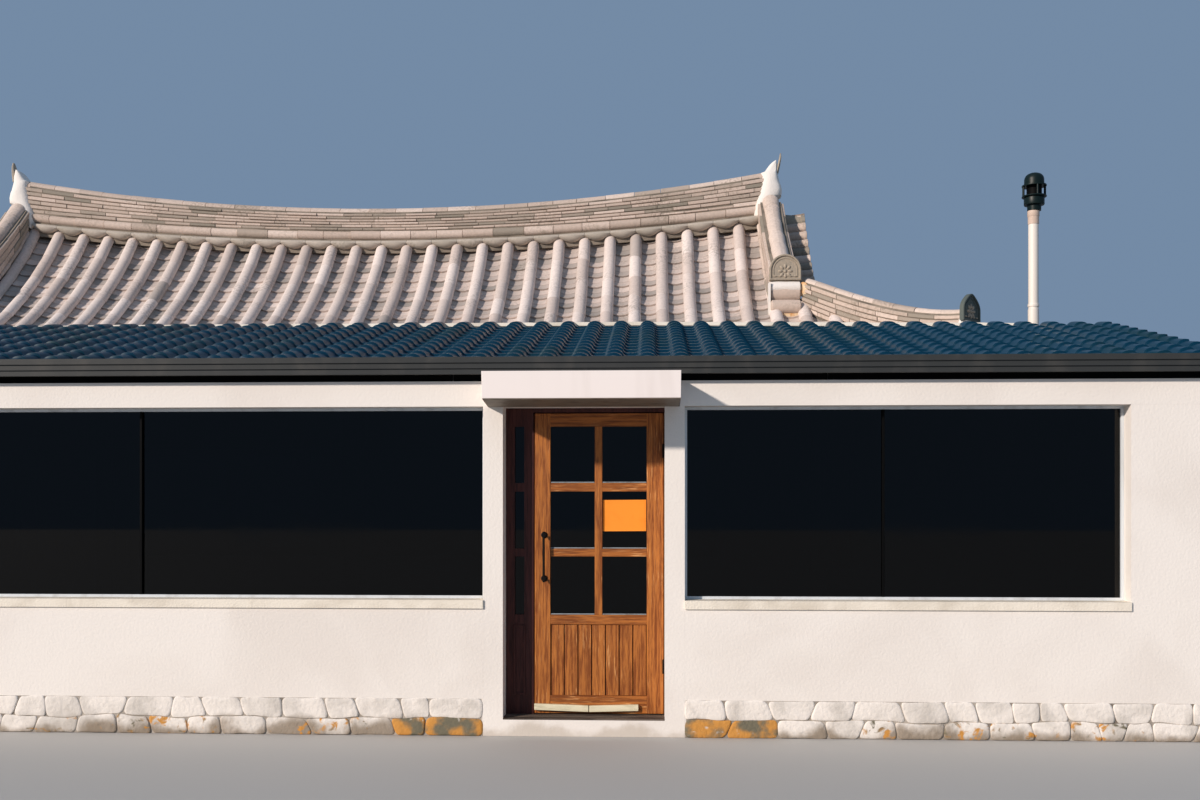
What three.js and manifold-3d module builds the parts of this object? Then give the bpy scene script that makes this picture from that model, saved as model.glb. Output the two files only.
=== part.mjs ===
// Hanok house: a hip-and-gable tiled house with a glazed shop front under a metal lean-to roof.
// Millimetres, +Z up. The shop front faces -Y. The origin is on the ground, under the middle of the
// whole outline. Inside the outer group x runs from the middle of the tiled house and y from the
// front face of the shop front.

import * as THREE from "three";
import { mergeVertices } from "three/addons/utils/BufferGeometryUtils.js";
import Module from "manifold-3d";

// Driving dimensions

const GAP = 0.3; // between pieces that rest on each other

const WALL = 200;
const SHOP_LEFT = -6196; // outer faces of the shop's end walls
const SHOP_RIGHT = 6970;
const SHOP_BACK = 2540; // outer face of the lean-to's short back walls
const PIER = 576; // width of the end piers beside the glazing
const HOUSE_HALF = 5400; // outer face of the house's end walls
const HOUSE_BACK = 7500;

const FOOTING_TOP = 260;
const FOOTING_PROUD = 12;
const FLOOR_TOP = 115;
const SILL_BOTTOM = 897;
const SILL_TOP = 957;
const SILL_PROUD = 15;
const HEAD = 2318; // underside of the beam over the openings

const DOORWAY_LEFT = 2056;
const DOORWAY_RIGHT = 3193;
const JAMB = 140; // width of the slim piers beside the doorway
const PLINTH_TOP = 116;
const THRESHOLD_TOP = 124;
const REVEAL = 180; // from the face of the wall back to the door

const SIDELIGHT = 199;
const SIDELIGHT_PANE = [2120, 2188];
const LEAF_WIDTH = 924;
const LEAF_THICKNESS = 40;
const LEAF_BOTTOM = 131;
const LEAF_TOP = 2281;
const LEAF_HINGE_CLEARANCE = 6; // between the leaf and the doorway's right side
const BARREL_RADIUS = 7.3; // of the two hinges, whose axis the leaf turns on
const HINGES = { lower: [420, 520], upper: [1960, 2060] };
const HINGE_PLATE = { thickness: 3.5, width: 40 };
const STOP_CLEARANCE = 6; // between the leaf and what it closes against
const FRAME_DEPTH = 80; // of the door frame
const LEFT_STILE = 114;
const RIGHT_STILE = 121;
const MUNTIN = 55;
const GLASS_ROWS = [[837, 1254], [1311, 1720], [1782, 2186]]; // bottoms and tops of the panes
const PANEL_BOTTOM = 259;
const PANEL_TOP = 767;
const GLASS = 8;
const HANDLE_LEFT = 2332; // middle of the bar
const HANDLE_BOTTOM = 1073;
const HANDLE_TOP = 1434;
const HANDLE_REACH = 60;

const WINDOW_REVEAL = 118; // from the face of the wall back to the window frames
const MULLION = 20;
const LEFT_PANE = 2504; // pitch of the three panes left of the door
const RIGHT_MULLION = 4732;

const EAVE_FRONT = -125;
const EAVE_TOP = 2700;
const LEANTO_SLOPE = 0.2257;
const LEANTO_BACK = 2550;
const LEANTO_DECK = 110;
const VERGE = 220; // overhang past the shop's end walls
const VALLEY_BOTTOM = 3000; // of the mortar between the lean-to and the tiled eave
const VALLEY_TOP = [3288, 3190]; // at its front and at its back
const VALLEY_BACK = 3250;
const FASCIA_TOP = 2653;
const FASCIA_STEPS = [2613, 2574, 2535]; // undersides of the three bands
const FASCIA_STEP_BACK = 11;
const FASCIA_BACK = -60;
const SOFFIT = 12;
const FRIEZE_TOP = 2495; // of the beam's plaster, over which it steps back
const FRIEZE_RECESS = 40;

// The sign box is a little wider at the wall than at its front, and leans forward
const SIGN = {
  front: -505,
  top: 2512,
  frontBottom: 2325,
  backBottom: 2313,
  frontTopX: [1976, 3295],
  frontBottomX: [1981, 3293],
  backX: [1949, 3299],
};

const ROOF_HALF = 6400; // from the middle to the side eaves
const ROOF_FRONT = 2900;
const RIDGE_Y = 5700;
const ROOF_DEPTH = RIDGE_Y - ROOF_FRONT; // from an eave in to the ridge
const EAVE_HEIGHT = 3026; // top of the tiles at the middle of the eave
const SLOPE_AT_EAVE = 0.194;
const SLOPE_GAIN = 1.5644e-4; // per mm from the eave, half the slope's growth
const RIDGE_SAG = 12e-6; // per mm, how the ridge line curves up to its ends
const CORNER_LIFT = 338;
const ROOF_THICKNESS = 170;
const GABLE_X = 4720;
const GABLE_FOOT = 3560;
const GABLE_SPREAD = 1550; // from the middle, more than the wall reaches once it is cut to the slopes
const VERGE_X = 4905;
const VERGE_FOOT = 1880; // from the eave line to the lower end of the gable's roof edge
const VERGE_THICKNESS = 90;

const RAFTER_PITCH = 420;
const RAFTER_RADIUS = 55;
const RAFTER_START = 70; // in from the eave
const RAFTER_END = 980; // just clear of the wall

const RIDGE_TOP = 5150;
const RIDGE_TOP_SAG = 19e-6;
const RIDGE_WIDTH = 260;
const RIDGE_HALF = 4540; // to the top of its ends
const RIDGE_END_LEAN = 190;

const BEDDING = 90; // how far a ridge is made to reach under the tiles before it is cut to them
// Ridges on the slopes: distances in from the eave, and heights over the tiles at both ends
const DESCENT = { x: [4478, 4554], from: 2635, to: 1530, width: 250, rise: [386, 492] };
const DESCENT_TILE = { width: 310, height: 248, thickness: 40, raised: 240 };
const HIP = { from: 1600, to: 245, width: 240, rise: [205, 172] };
const HIP_TILE = { width: 300, height: 261, thickness: 40, raised: 44 };

const VENT = { x: 6590, y: 2660, radius: 45, wall: 4, top: 4301 };
const VENT_COLLAR = [4178, 4301];
const VENT_CLAMP = 3423;
const VENT_BRACKETS = [900, 2700];
// Radius and height up the outside of the cap
const CAP_OUTLINE = [
  [0, VENT.top + GAP], [56, VENT.top + GAP], [56, 4348], [90, 4353], [90, 4422], [109, 4424], [109, 4533], [85, 4535],
  [85, 4584], [70, 4617], [40, 4640], [0, 4647],
];

// Materials

const material = (color, roughness, metalness = 0) =>
  new THREE.MeshStandardMaterial({ color, roughness, metalness });

const plaster = material(0xede4db, 0.9);
const rubble = material(0xcfc4b6, 0.95);
const cream = material(0xe6dcc8, 0.85);
const timber = material(0x7a5636, 0.7);
const doorWood = material(0xa0643a, 0.6);
const maroonWood = material(0x48261f, 0.6);
const greyWood = material(0x8d857b, 0.85);
const iron = material(0x2b2a29, 0.5, 0.8);
const darkFrame = material(0x2c2f31, 0.5, 0.5);
const clearGlass = material(0x9fb4b8, 0.05);
const tealMetal = material(0x143c55, 0.4, 0.6);
const charcoal = material(0x414244, 0.5, 0.5);
const signWhite = material(0xf2f0ec, 0.5);
const tile = material(0xc8bab4, 0.85);
const pipeWhite = material(0xd9d6cc, 0.5);
const capGreen = material(0x1f4034, 0.45, 0.4);
const concrete = material(0x9b968e, 0.9);

// Solids

const wasm = await Module();
wasm.setup();

/** A closed mesh with shared vertices, as a solid that can be joined or cut. */
function toSolid(geometry) {
  const bare = geometry.clone();
  bare.deleteAttribute("normal");
  bare.deleteAttribute("uv");
  const merged = mergeVertices(bare, 1e-3);
  return new wasm.Manifold(new wasm.Mesh({
    numProp: 3,
    vertProperties: new Float32Array(merged.attributes.position.array),
    triVerts: new Uint32Array(merged.index.array),
  }));
}

function toGeometry(solid) {
  const mesh = solid.getMesh();
  const geometry = new THREE.BufferGeometry();
  geometry.setAttribute("position", new THREE.BufferAttribute(mesh.vertProperties, 3));
  geometry.setIndex(new THREE.BufferAttribute(mesh.triVerts, 1));
  return geometry;
}

function join(...geometries) {
  return toGeometry(geometries.map(toSolid).reduce((all, next) => all.add(next)));
}

function cut(geometry, ...tools) {
  return toGeometry(tools.map(toSolid).reduce((rest, tool) => rest.subtract(tool), toSolid(geometry)));
}

function box([x0, x1], [y0, y1], [z0, z1]) {
  const geometry = new THREE.BoxGeometry(x1 - x0, y1 - y0, z1 - z0);
  return geometry.translate((x0 + x1) / 2, (y0 + y1) / 2, (z0 + z1) / 2);
}

function extrude(points, from, to) {
  const shape = new THREE.Shape(points.map(([a, b]) => new THREE.Vector2(a, b)));
  const geometry = new THREE.ExtrudeGeometry(shape, { depth: to - from, bevelEnabled: false });
  return geometry.translate(0, 0, from);
}

/** A plan outline of [x, y] points, raised from one height to another. */
const raise = (points, bottom, top) => extrude(points, bottom, top);

const ALONG_X = new THREE.Matrix4().makeBasis(
  new THREE.Vector3(0, 1, 0), new THREE.Vector3(0, 0, 1), new THREE.Vector3(1, 0, 0));

/** A section of [y, z] points, run along x. */
const runAlongX = (points, from, to) => extrude(points, from, to).applyMatrix4(ALONG_X);

/** A closed solid between two heights over a patch of the plan, plan(s, t) giving [x, y]. */
function patch(plan, top, bottom, columns, rows) {
  const positions = [];
  for (const height of [bottom, top]) {
    for (let j = 0; j <= rows; j += 1) {
      for (let i = 0; i <= columns; i += 1) {
        const [x, y] = plan(i / columns, j / rows);
        positions.push(x, y, height(x, y));
      }
    }
  }
  const layer = (columns + 1) * (rows + 1);
  const at = (i, j, level) => level * layer + j * (columns + 1) + i;
  const index = [];
  const quad = (a, b, c, d) => index.push(a, b, c, a, c, d);
  for (let j = 0; j < rows; j += 1) {
    for (let i = 0; i < columns; i += 1) {
      quad(at(i, j, 1), at(i + 1, j, 1), at(i + 1, j + 1, 1), at(i, j + 1, 1));
      quad(at(i, j, 0), at(i, j + 1, 0), at(i + 1, j + 1, 0), at(i + 1, j, 0));
    }
  }
  for (let i = 0; i < columns; i += 1) {
    quad(at(i, 0, 0), at(i + 1, 0, 0), at(i + 1, 0, 1), at(i, 0, 1));
    quad(at(i + 1, rows, 0), at(i, rows, 0), at(i, rows, 1), at(i + 1, rows, 1));
  }
  for (let j = 0; j < rows; j += 1) {
    quad(at(0, j + 1, 0), at(0, j, 0), at(0, j, 1), at(0, j + 1, 1));
    quad(at(columns, j, 0), at(columns, j + 1, 0), at(columns, j + 1, 1), at(columns, j, 1));
  }
  const geometry = new THREE.BufferGeometry();
  geometry.setAttribute("position", new THREE.Float32BufferAttribute(positions, 3));
  geometry.setIndex(index);
  return geometry;
}

/** Rings of equal point counts, joined in order and closed at both ends around their middles. */
function loft(rings) {
  const count = rings[0].length;
  const positions = rings.flat().flatMap((point) => point.toArray());
  const index = [];
  for (let r = 0; r + 1 < rings.length; r += 1) {
    for (let i = 0; i < count; i += 1) {
      const next = (i + 1) % count;
      const a = r * count + i;
      const b = r * count + next;
      index.push(a, b, b + count, a, b + count, a + count);
    }
  }
  for (const [ring, first] of [[rings[0], true], [rings[rings.length - 1], false]]) {
    const middle = ring.reduce((sum, point) => sum.add(point), new THREE.Vector3()).divideScalar(count);
    const centre = positions.length / 3;
    const start = first ? 0 : (rings.length - 1) * count;
    positions.push(...middle.toArray());
    for (let i = 0; i < count; i += 1) {
      const next = (i + 1) % count;
      index.push(centre, start + (first ? next : i), start + (first ? i : next));
    }
  }
  const geometry = new THREE.BufferGeometry();
  geometry.setAttribute("position", new THREE.Float32BufferAttribute(positions, 3));
  geometry.setIndex(index);
  return geometry;
}

// The surface of the tiled roof

/** Height of the tiles at a distance in from the eave, at the middle of a slope. */
const profile = (inward) => EAVE_HEIGHT + SLOPE_AT_EAVE * inward + SLOPE_GAIN * inward ** 2;

const ridgeRise = (x, inward) => RIDGE_SAG * (inward / ROOF_DEPTH) ** 2 * x ** 2;
const cornerRise = (x, inward) => CORNER_LIFT * (1 - inward / ROOF_DEPTH) ** 2 * (x / ROOF_HALF) ** 4;

/** Tiles of the front and back slopes. */
function mainHeight(x, y) {
  const inward = ROOF_DEPTH - Math.abs(y - RIDGE_Y);
  return profile(inward) + ridgeRise(x, inward) + cornerRise(x, inward);
}

/** Tiles of the two skirts under the gables. They meet the main slopes along the hips. */
function skirtHeight(x, y) {
  const inward = ROOF_HALF - Math.abs(x);
  const across = Math.abs(y - RIDGE_Y) / (ROOF_DEPTH - inward);
  return profile(inward) + ridgeRise(x, inward) * across ** 2 + cornerRise(x, inward) * across ** 4;
}

const below = (height, drop) => (x, y) => height(x, y) - drop;
const level = (z) => () => z;

const TALL = 7000; // walls are made this tall and then cut to the roof
const WIDE = [-9000, 9000];

const MAIN_GRID = [16, 10];
const MAIN_HIP_ROWS = 6; // of the rows, those beside the hips
const SKIRT_GRID = [8, 5];
const CUT_REACH = 0.5; // the cutters meet past the small joint between two slopes

/** Plan of a main slope: side is -1 in front and 1 behind. */
function mainPlan(side, margin) {
  const hipLength = ROOF_HALF - GABLE_X;
  const depth = ROOF_DEPTH - Math.max(margin, 0); // a cutter stops at the ridge line, where the slope turns
  const share = MAIN_HIP_ROWS / MAIN_GRID[1];
  return (s, t) => {
    const inward = t < share
      ? (hipLength * t) / share
      : hipLength + ((depth - hipLength) * (t - share)) / (1 - share);
    const half = Math.max(ROOF_HALF - inward, GABLE_X) - margin;
    return [side * (1 - 2 * s) * half, RIDGE_Y + side * (ROOF_DEPTH - inward)];
  };
}

/** Plan of a skirt: side is -1 at the left and 1 at the right. */
function skirtPlan(side, margin) {
  const inner = ROOF_HALF - GABLE_X - margin;
  return (s, t) => {
    const inward = t * inner;
    const half = ROOF_DEPTH - inward - margin;
    return [side * (ROOF_HALF - inward), RIDGE_Y + side * (2 * s - 1) * half];
  };
}

/** Everything over the underside of the tiled roof, to cut the walls to it. */
function roofCutters() {
  const top = level(TALL + 1);
  return [-1, 1].flatMap((side) => [
    patch(mainPlan(side, -CUT_REACH), top, below(mainHeight, ROOF_THICKNESS + GAP), ...MAIN_GRID),
    patch(skirtPlan(side, -CUT_REACH), top, below(skirtHeight, ROOF_THICKNESS + GAP), ...SKIRT_GRID),
  ]);
}

/** Everything under the top of the tiles, to seat the ridges and the mortar on it. */
function tileCutters() {
  return [-1, 1].flatMap((side) => [
    patch(mainPlan(side, -CUT_REACH), below(mainHeight, -GAP), level(0), ...MAIN_GRID),
    patch(skirtPlan(side, -CUT_REACH), below(skirtHeight, -GAP), level(0), ...SKIRT_GRID),
  ]);
}

/** A rafter's end under an eave, between two points. */
function rafter(from, to) {
  const axis = new THREE.Vector3().subVectors(to, from);
  const log = new THREE.CylinderGeometry(RAFTER_RADIUS, RAFTER_RADIUS, axis.length(), 6);
  const up = new THREE.Vector3(0, 1, 0);
  log.applyQuaternion(new THREE.Quaternion().setFromUnitVectors(up, axis.clone().normalize()));
  const middle = new THREE.Vector3().addVectors(from, to).multiplyScalar(0.5);
  return log.translate(middle.x, middle.y, middle.z);
}

/** Rafters of one slope, place(along, inward) giving [x, y] and height its tiles. */
function rafters(place, height, halfLength, innerEnd) {
  const clearOfHip = 170;
  const shortest = 200;
  const sunk = ROOF_THICKNESS + RAFTER_RADIUS * 0.5;
  const found = [];
  const count = Math.floor(halfLength / RAFTER_PITCH);
  for (let k = -count; k <= count; k += 1) {
    const along = k * RAFTER_PITCH;
    const end = Math.min(innerEnd, halfLength - Math.abs(along) - clearOfHip);
    if (end - RAFTER_START < shortest) continue;
    const point = (inward) => {
      const [x, y] = place(along, inward);
      return new THREE.Vector3(x, y, height(x, y) - sunk);
    };
    found.push(rafter(point(RAFTER_START), point(end)));
  }
  return found;
}

const mainSlope = (side) =>
  patch(mainPlan(side, GAP / 2), mainHeight, below(mainHeight, ROOF_THICKNESS), ...MAIN_GRID);

function skirt(side) {
  const slab = patch(skirtPlan(side, GAP), skirtHeight, below(skirtHeight, ROOF_THICKNESS), ...SKIRT_GRID);
  const place = (along, inward) => [side * (ROOF_HALF - inward), RIDGE_Y + along];
  return join(slab, ...rafters(place, skirtHeight, ROOF_DEPTH, RAFTER_END));
}

function backSlope() {
  const place = (along, inward) => [along, RIDGE_Y + ROOF_DEPTH - inward];
  return join(mainSlope(1), ...rafters(place, mainHeight, ROOF_HALF, RAFTER_END));
}

/** Underside of the lean-to roof. */
const deckUnderside = (y) => EAVE_TOP + LEANTO_SLOPE * (y - EAVE_FRONT) - LEANTO_DECK;

/** Everything over the lean-to's underside, back to its upper edge. */
const leantoCutter = runAlongX([
  [EAVE_FRONT, deckUnderside(EAVE_FRONT) - GAP],
  [LEANTO_BACK, deckUnderside(LEANTO_BACK) - GAP],
  [LEANTO_BACK, TALL + 1],
  [EAVE_FRONT, TALL + 1],
], ...WIDE);

/** The strip between the lean-to and the tiled eave. */
const valleyCutter = box(WIDE, [LEANTO_BACK - 1, ROOF_FRONT + 1], [VALLEY_BOTTOM - GAP, TALL + 1]);

// Assembly

const house = new THREE.Group();
house.position.set(-(SHOP_LEFT + SHOP_RIGHT) / 2, -(SIGN.front + RIDGE_Y + ROOF_DEPTH) / 2, 0);

function add(name, geometry, finish) {
  const mesh = new THREE.Mesh(geometry, finish.clone());
  mesh.name = name;
  house.add(mesh);
}

// Floor and footing

const glazingLeft = SHOP_LEFT + PIER;
const glazingRight = SHOP_RIGHT - PIER;
const jambLeft = DOORWAY_LEFT - JAMB;
const jambRight = DOORWAY_RIGHT + JAMB;
const houseInside = HOUSE_HALF - WALL - GAP;
const returnFront = SHOP_BACK - WALL;

add("floor_slab", raise([
  [SHOP_LEFT + WALL + GAP, WALL + GAP],
  [SHOP_RIGHT - WALL - GAP, WALL + GAP],
  [SHOP_RIGHT - WALL - GAP, returnFront - GAP],
  [houseInside, returnFront - GAP],
  [houseInside, HOUSE_BACK - WALL - GAP],
  [-houseInside, HOUSE_BACK - WALL - GAP],
  [-houseInside, returnFront - GAP],
  [SHOP_LEFT + WALL + GAP, returnFront - GAP],
], 0, FLOOR_TOP), concrete);

add("base_front_left", box([SHOP_LEFT, jambLeft - GAP], [-FOOTING_PROUD, WALL], [0, FOOTING_TOP]), rubble);
add("base_front_right", box([jambRight + GAP, SHOP_RIGHT], [-FOOTING_PROUD, WALL], [0, FOOTING_TOP]), rubble);

// Low walls and their sills

const lowWall = [FOOTING_TOP + GAP, SILL_BOTTOM - GAP];
const leftGlazing = [glazingLeft, jambLeft - GAP];
const rightGlazing = [jambRight + GAP, glazingRight];
add("sill_wall_left", box(leftGlazing, [0, WALL], lowWall), plaster);
add("sill_wall_right", box(rightGlazing, [0, WALL], lowWall), plaster);
add("window_sill_left", box(leftGlazing, [-SILL_PROUD, WALL], [SILL_BOTTOM, SILL_TOP]), cream);
add("window_sill_right", box(rightGlazing, [-SILL_PROUD, WALL], [SILL_BOTTOM, SILL_TOP]), cream);

// End walls of the shop, each with its front pier and its short return behind

function sideWall(outer, inner, pierEnd, returnEnd) {
  const wall = raise([
    [outer, 0],
    [pierEnd, 0],
    [pierEnd, WALL],
    [inner, WALL],
    [inner, returnFront],
    [returnEnd, returnFront],
    [returnEnd, SHOP_BACK],
    [outer, SHOP_BACK],
  ], 0, TALL);
  const footing = box(WIDE, [-1, WALL + GAP], [-1, FOOTING_TOP + GAP]);
  const beam = box(WIDE, [-1, WALL + GAP], [HEAD - GAP, TALL + 1]);
  return cut(wall, footing, beam, leantoCutter);
}

add("side_wall_left", sideWall(SHOP_LEFT, SHOP_LEFT + WALL, glazingLeft - GAP, -HOUSE_HALF - GAP), plaster);
add("side_wall_right", sideWall(SHOP_RIGHT, SHOP_RIGHT - WALL, glazingRight + GAP, HOUSE_HALF + GAP), plaster);

add("frieze_beam", runAlongX([
  [0, HEAD],
  [WALL, HEAD],
  [WALL, deckUnderside(WALL) - GAP],
  [FRIEZE_RECESS, deckUnderside(FRIEZE_RECESS) - GAP],
  [FRIEZE_RECESS, FRIEZE_TOP],
  [0, FRIEZE_TOP],
], SHOP_LEFT, SHOP_RIGHT), plaster);

// Doorway: slim piers with the plinth between them

const surroundOutline = [
  [jambLeft, 0],
  [jambRight, 0],
  [jambRight, HEAD - GAP],
  [DOORWAY_RIGHT, HEAD - GAP],
  [DOORWAY_RIGHT, PLINTH_TOP - GAP],
  [DOORWAY_LEFT, PLINTH_TOP - GAP],
  [DOORWAY_LEFT, HEAD - GAP],
  [jambLeft, HEAD - GAP],
];

/** An outline of [x, z] points, run back from y = from to y = to. */
function runBack(points, from, to) {
  const geometry = extrude(points, -to, -from);
  return geometry.rotateX(Math.PI / 2);
}

add("door_surround", runBack(surroundOutline, 0, WALL), plaster);

const doorway = [DOORWAY_LEFT + GAP, DOORWAY_RIGHT - GAP];
add("threshold", box(doorway, [0, REVEAL + FRAME_DEPTH], [PLINTH_TOP, THRESHOLD_TOP]), greyWood);

// Door frame with the sidelight

const leafRight = DOORWAY_RIGHT - LEAF_HINGE_CLEARANCE;
const leafLeft = leafRight - LEAF_WIDTH;
const sidelightRight = DOORWAY_LEFT + SIDELIGHT;
const leafFront = REVEAL;
const leafBack = REVEAL + LEAF_THICKNESS;
const stopFront = leafBack + STOP_CLEARANCE;
const frameBack = REVEAL + FRAME_DEPTH;
const frameHeight = [THRESHOLD_TOP + GAP, HEAD - GAP];
const glassDepth = [REVEAL + 20 + GAP, REVEAL + 20 + GAP + GLASS];

const sidelightPanes = GLASS_ROWS.map((row) =>
  box(SIDELIGHT_PANE, [REVEAL - 1, frameBack + 1], row));
const sidelightGlass = [SIDELIGHT_PANE[0] - 12, SIDELIGHT_PANE[1] + 12];
const sidelightRebate = box(sidelightGlass, [REVEAL + 20, frameBack + 1],
  [GLASS_ROWS[0][0] - 12, GLASS_ROWS[2][1] + 12]);
const leafSpace = box([sidelightRight, DOORWAY_RIGHT], [REVEAL - 1, stopFront], [0, LEAF_TOP + 6]);
const walkThrough = box([leafLeft + 14, leafRight - 14], [REVEAL - 1, frameBack + 1], [0, LEAF_TOP - 12]);
add("door_frame", cut(box(doorway, [REVEAL, frameBack], frameHeight), leafSpace, walkThrough,
  sidelightRebate, ...sidelightPanes), maroonWood);
add("sidelight_glass", box([sidelightGlass[0] + GAP, sidelightGlass[1] - GAP], glassDepth,
  [GLASS_ROWS[0][0] - 12 + GAP, GLASS_ROWS[2][1] + 12 - GAP]), clearGlass);

// Door leaf

const muntinLeft = leafLeft + (LEAF_WIDTH + LEFT_STILE - RIGHT_STILE - MUNTIN) / 2;
const paneColumns = [[leafLeft + LEFT_STILE, muntinLeft], [muntinLeft + MUNTIN, leafRight - RIGHT_STILE]];
const leafPanes = GLASS_ROWS.flatMap((row) =>
  paneColumns.map((column) => box(column, [leafFront - 1, leafBack + 1], row)));
const REBATE = 12;
const glassOutline = {
  x: [leafLeft + LEFT_STILE - REBATE, leafRight - RIGHT_STILE + REBATE],
  z: [GLASS_ROWS[0][0] - REBATE, GLASS_ROWS[2][1] + REBATE],
};
const glassRebate = box(glassOutline.x, [REVEAL + 20, leafBack + 1], glassOutline.z);
const panelOutline = [leafLeft + LEFT_STILE, leafRight - RIGHT_STILE];
const panelSpace = box(panelOutline, [leafFront - 1, leafBack + 1], [PANEL_BOTTOM, PANEL_TOP]);
const inset = ([low, high]) => [low + GAP, high - GAP];

add("door_leaf", cut(box([leafLeft, leafRight], [leafFront, leafBack], [LEAF_BOTTOM, LEAF_TOP]),
  panelSpace, glassRebate, ...leafPanes), doorWood);
add("door_glass", box(inset(glassOutline.x), glassDepth, inset(glassOutline.z)), clearGlass);
add("door_panel", box(inset(panelOutline), [leafFront + 8, leafBack - 8], inset([PANEL_BOTTOM, PANEL_TOP])),
  doorWood);

function doorHandle() {
  const bar = new THREE.CylinderGeometry(11, 11, HANDLE_TOP - HANDLE_BOTTOM, 12).rotateX(Math.PI / 2);
  bar.translate(HANDLE_LEFT, leafFront - HANDLE_REACH + 11, (HANDLE_TOP + HANDLE_BOTTOM) / 2);
  const brackets = [HANDLE_BOTTOM + 25, HANDLE_TOP - 25].flatMap((z) => [
    box([HANDLE_LEFT - 8, HANDLE_LEFT + 8], [leafFront - HANDLE_REACH + 8, leafFront - GAP], [z - 8, z + 8]),
    box([HANDLE_LEFT - 22, HANDLE_LEFT + 22], [leafFront - 4, leafFront - GAP], [z - 24, z + 24]),
  ]);
  return join(bar, ...brackets);
}

add("door_handle", doorHandle(), iron);

/** A hinge on the doorway's side: the barrel stands just before the leaf, with its plate behind. */
function hinge(height) {
  const x = DOORWAY_RIGHT - GAP - BARREL_RADIUS;
  const y = leafFront - GAP - BARREL_RADIUS;
  const barrel = new THREE.CylinderGeometry(BARREL_RADIUS, BARREL_RADIUS, height[1] - height[0], 16);
  barrel.rotateX(Math.PI / 2).translate(x, y, (height[0] + height[1]) / 2);
  const plate = box([DOORWAY_RIGHT - GAP - HINGE_PLATE.thickness, DOORWAY_RIGHT - GAP],
    [y, y + HINGE_PLATE.width], height);
  return join(barrel, plate);
}

for (const [word, height] of Object.entries(HINGES)) add(`hinge_${word}`, hinge(height), iron);

// Shop windows: a slim frame with mullions, and a sheet of glass behind it

const windowFrameDepth = [WINDOW_REVEAL, WINDOW_REVEAL + 24];
const sheetDepth = [windowFrameDepth[1] + GAP, windowFrameDepth[1] + GAP + GLASS];
const windowHeight = [SILL_TOP + GAP, HEAD - GAP];

function windowFrame([left, right], mullions) {
  const edges = [left, ...mullions, right];
  const openings = edges.slice(1).map((edge, k) => {
    const from = edges[k] + (k === 0 ? MULLION : MULLION / 2);
    const to = edge - (k === edges.length - 2 ? MULLION : MULLION / 2);
    return box([from, to], [0, WALL], [windowHeight[0] + MULLION, windowHeight[1] - MULLION]);
  });
  return cut(box([left, right], windowFrameDepth, windowHeight), ...openings);
}

const leftMullions = [jambLeft - 2 * LEFT_PANE, jambLeft - LEFT_PANE];
add("window_frame_left", windowFrame(inset(leftGlazing), leftMullions), darkFrame);
add("window_glass_left", box(inset(leftGlazing), sheetDepth, windowHeight), clearGlass);
add("window_frame_right", windowFrame(inset(rightGlazing), [RIGHT_MULLION]), darkFrame);
add("window_glass_right", box(inset(rightGlazing), sheetDepth, windowHeight), clearGlass);

// Sign box under the eave, left bare

function signBox() {
  const ring = (y, [bottomLeft, bottomRight], bottom, [topLeft, topRight]) => [
    [bottomLeft, bottom], [topLeft, SIGN.top], [topRight, SIGN.top], [bottomRight, bottom],
  ].map(([x, z]) => new THREE.Vector3(x, y, z));
  return loft([
    ring(SIGN.front, SIGN.frontBottomX, SIGN.frontBottom, SIGN.frontTopX),
    ring(-GAP, SIGN.backX, SIGN.backBottom, SIGN.backX),
  ]);
}

add("sign_box", signBox(), signWhite);

// Lean-to roof

const deckTop = (y) => EAVE_TOP + LEANTO_SLOPE * (y - EAVE_FRONT);
const roofEnds = [SHOP_LEFT - VERGE, SHOP_RIGHT + VERGE];

const sheetFront = EAVE_FRONT + FASCIA_STEP_BACK;
add("leanto_roof", runAlongX([
  [sheetFront, FASCIA_TOP + GAP],
  [FASCIA_BACK, FASCIA_TOP + GAP],
  [FASCIA_BACK, deckUnderside(FASCIA_BACK)],
  [LEANTO_BACK, deckUnderside(LEANTO_BACK)],
  [LEANTO_BACK, deckTop(LEANTO_BACK)],
  [sheetFront, deckTop(sheetFront)],
], ...roofEnds), tealMetal);

const soffitTop = deckUnderside(FASCIA_BACK) - 1;
const soffitBack = FRIEZE_RECESS - GAP;
const bandFront = (k) => EAVE_FRONT + k * FASCIA_STEP_BACK;
add("eave_fascia", runAlongX([
  [EAVE_FRONT, FASCIA_TOP],
  ...FASCIA_STEPS.flatMap((z, k) => [[bandFront(k), z], [bandFront(k + 1), z]]).slice(0, -1),
  [FASCIA_BACK, FASCIA_STEPS[2]],
  [FASCIA_BACK, soffitTop - SOFFIT],
  [soffitBack, soffitTop - SOFFIT],
  [soffitBack, soffitTop],
  [FASCIA_BACK - GAP, soffitTop],
  [FASCIA_BACK - GAP, FASCIA_TOP],
], ...roofEnds), charcoal);

// Posts and the beam that they carry

function bent(left, right, [front, back], beamBottom, postPlaces, postWidth) {
  const beam = box([left, right], [front, back], [beamBottom, TALL]);
  const posts = postPlaces.map((x) =>
    box([x - postWidth / 2, x + postWidth / 2], [front, back], [FLOOR_TOP + GAP, beamBottom + 1]));
  return join(beam, ...posts);
}

add("leanto_bent", cut(bent(-houseInside, houseInside, [returnFront, SHOP_BACK - 60], 2950, [-1730, 1730], 140),
  leantoCutter), timber);

// Walls of the house behind

const SIDE_WINDOW = [4300, 6900];
const BACK_WINDOWS = [[-3900, -1300], [1300, 3900]];
const windowSpan = [SILL_TOP, HEAD];
const underRoof = roofCutters();

function houseSide(side) {
  const x = [HOUSE_HALF - WALL, HOUSE_HALF].map((value) => side * value).sort((a, b) => a - b);
  const wall = box(x, [returnFront, HOUSE_BACK], [0, TALL]);
  return cut(wall, leantoCutter, valleyCutter, ...underRoof, box(WIDE, SIDE_WINDOW, windowSpan));
}

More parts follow.
